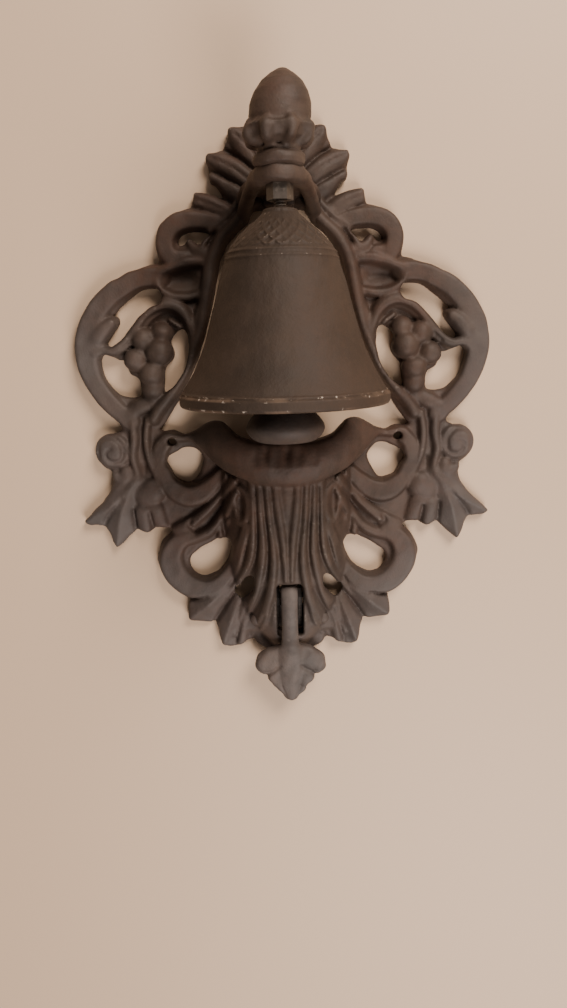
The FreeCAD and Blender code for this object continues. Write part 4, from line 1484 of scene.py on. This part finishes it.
# ---- stage ---------------------------------------------------------------------------------------
@dataclass
class Studio:
    """Pale wall, soft light and the camera."""

    eye: Spot = (-0.00440, -0.400, 0.05251)
    yaw: float = 0.408
    pitch: float = 12.482
    roll: float = -1.508
    focal_share: float = 0.758929
    film_width: float = 36.0
    wall_reach: float = 1.6
    wall_gap: float = 0.0006
    wall_colour: Colour = (0.69, 0.47, 0.315, 1)

    def camera(self) -> None:
        """Places the camera."""
        yaw, pitch, roll = (math.radians(a) for a in (self.yaw, self.pitch, self.roll))
        ahead = np.array([math.sin(yaw) * math.cos(pitch), math.cos(yaw) * math.cos(pitch),
                          -math.sin(pitch)])
        right = np.array([math.cos(yaw), -math.sin(yaw), 0.0])
        up = np.cross(right, ahead)
        across = math.cos(roll) * right + math.sin(roll) * up
        over = -math.sin(roll) * right + math.cos(roll) * up
        data = bpy.data.cameras.new("camera")
        data.sensor_width = self.film_width
        data.lens = self.film_width * self.focal_share
        camera = bpy.data.objects.new("camera", data)
        rows = [[across[k], over[k], -ahead[k], self.eye[k]] for k in range(3)] + [[0, 0, 0, 1]]
        bpy.context.scene.collection.objects.link(camera)
        camera.matrix_world = Matrix(rows)
        bpy.context.scene.camera = camera

    def light(self, name: str, place: Spot, size: float, power: float, colour: Spot) -> None:
        """Hangs one soft square light aimed at the bell.

        Args:
            name: The light's name.
            place: Where it hangs, in metres.
            size: Its side, in metres.
            power: Its power, in watts.
            colour: Its colour as (red, green, blue).
        """
        data = bpy.data.lights.new(name, "AREA")
        data.size = size
        data.energy = power
        data.color = colour
        lamp = bpy.data.objects.new(name, data)
        lamp.location = place
        lamp.rotation_euler = (Vector((0, -0.02, 0)) - Vector(place)).to_track_quat("-Z", "Y").to_euler()
        bpy.context.scene.collection.objects.link(lamp)

    def wall(self) -> None:
        """Pale wall behind the bell, seen only from its front."""
        material = bpy.data.materials.new("pale wall")
        material.use_nodes = True
        tree = material.node_tree
        shader = tree.nodes["Principled BSDF"]
        shader.inputs["Base Color"].default_value = self.wall_colour
        shader.inputs["Roughness"].default_value = 0.55
        clear = tree.nodes.new("ShaderNodeBsdfTransparent")
        choose = tree.nodes.new("ShaderNodeMixShader")
        sides = tree.nodes.new("ShaderNodeNewGeometry")
        tree.links.new(sides.outputs["Backfacing"], choose.inputs[0])
        tree.links.new(shader.outputs[0], choose.inputs[1])
        tree.links.new(clear.outputs[0], choose.inputs[2])
        tree.links.new(choose.outputs[0], tree.nodes["Material Output"].inputs["Surface"])
        reach, gap = self.wall_reach, self.wall_gap
        mesh = bpy.data.meshes.new("wall")
        corners = [(-reach, gap, -reach), (reach, gap, -reach), (reach, gap, reach), (-reach, gap, reach)]
        mesh.from_pydata(corners, [], [(0, 1, 2, 3)])
        mesh.materials.append(material)
        wall = bpy.data.objects.new("wall", mesh)
        bpy.context.scene.collection.objects.link(wall)

    def build(self) -> None:
        """Sets up the stage, the lights and the camera."""
        self.wall()
        self.light("key", (0.45, -0.78, 0.80), 0.5, 17.5, (1.0, 0.94, 0.86))
        self.light("low side", (0.34, -0.85, -0.70), 0.6, 13, (1.0, 0.96, 0.92))
        world = bpy.data.worlds.new("pale room")
        world.use_nodes = True
        world.node_tree.nodes["Background"].inputs[0].default_value = (0.95, 0.90, 0.84, 1)
        world.node_tree.nodes["Background"].inputs[1].default_value = 0.15
        bpy.context.scene.world = world
        self.camera()


def main() -> None:
    """Builds the bell's pieces in order."""
    logging.basicConfig(level=logging.INFO, format="%(name)s: %(message)s")
    Studio().build()
    finishes = Finishes()
    BackPlate().build(finishes.frame)
    HangerBracket().build(finishes.frame)
    AcornFinial().build(finishes.frame)
    BellCasting().build(finishes.bell)
    PullHandle().build(finishes.lever)
    ThreadedStud().build(finishes.thread)
    dress_hardware(finishes)


if __name__ == "__main__":
    main()
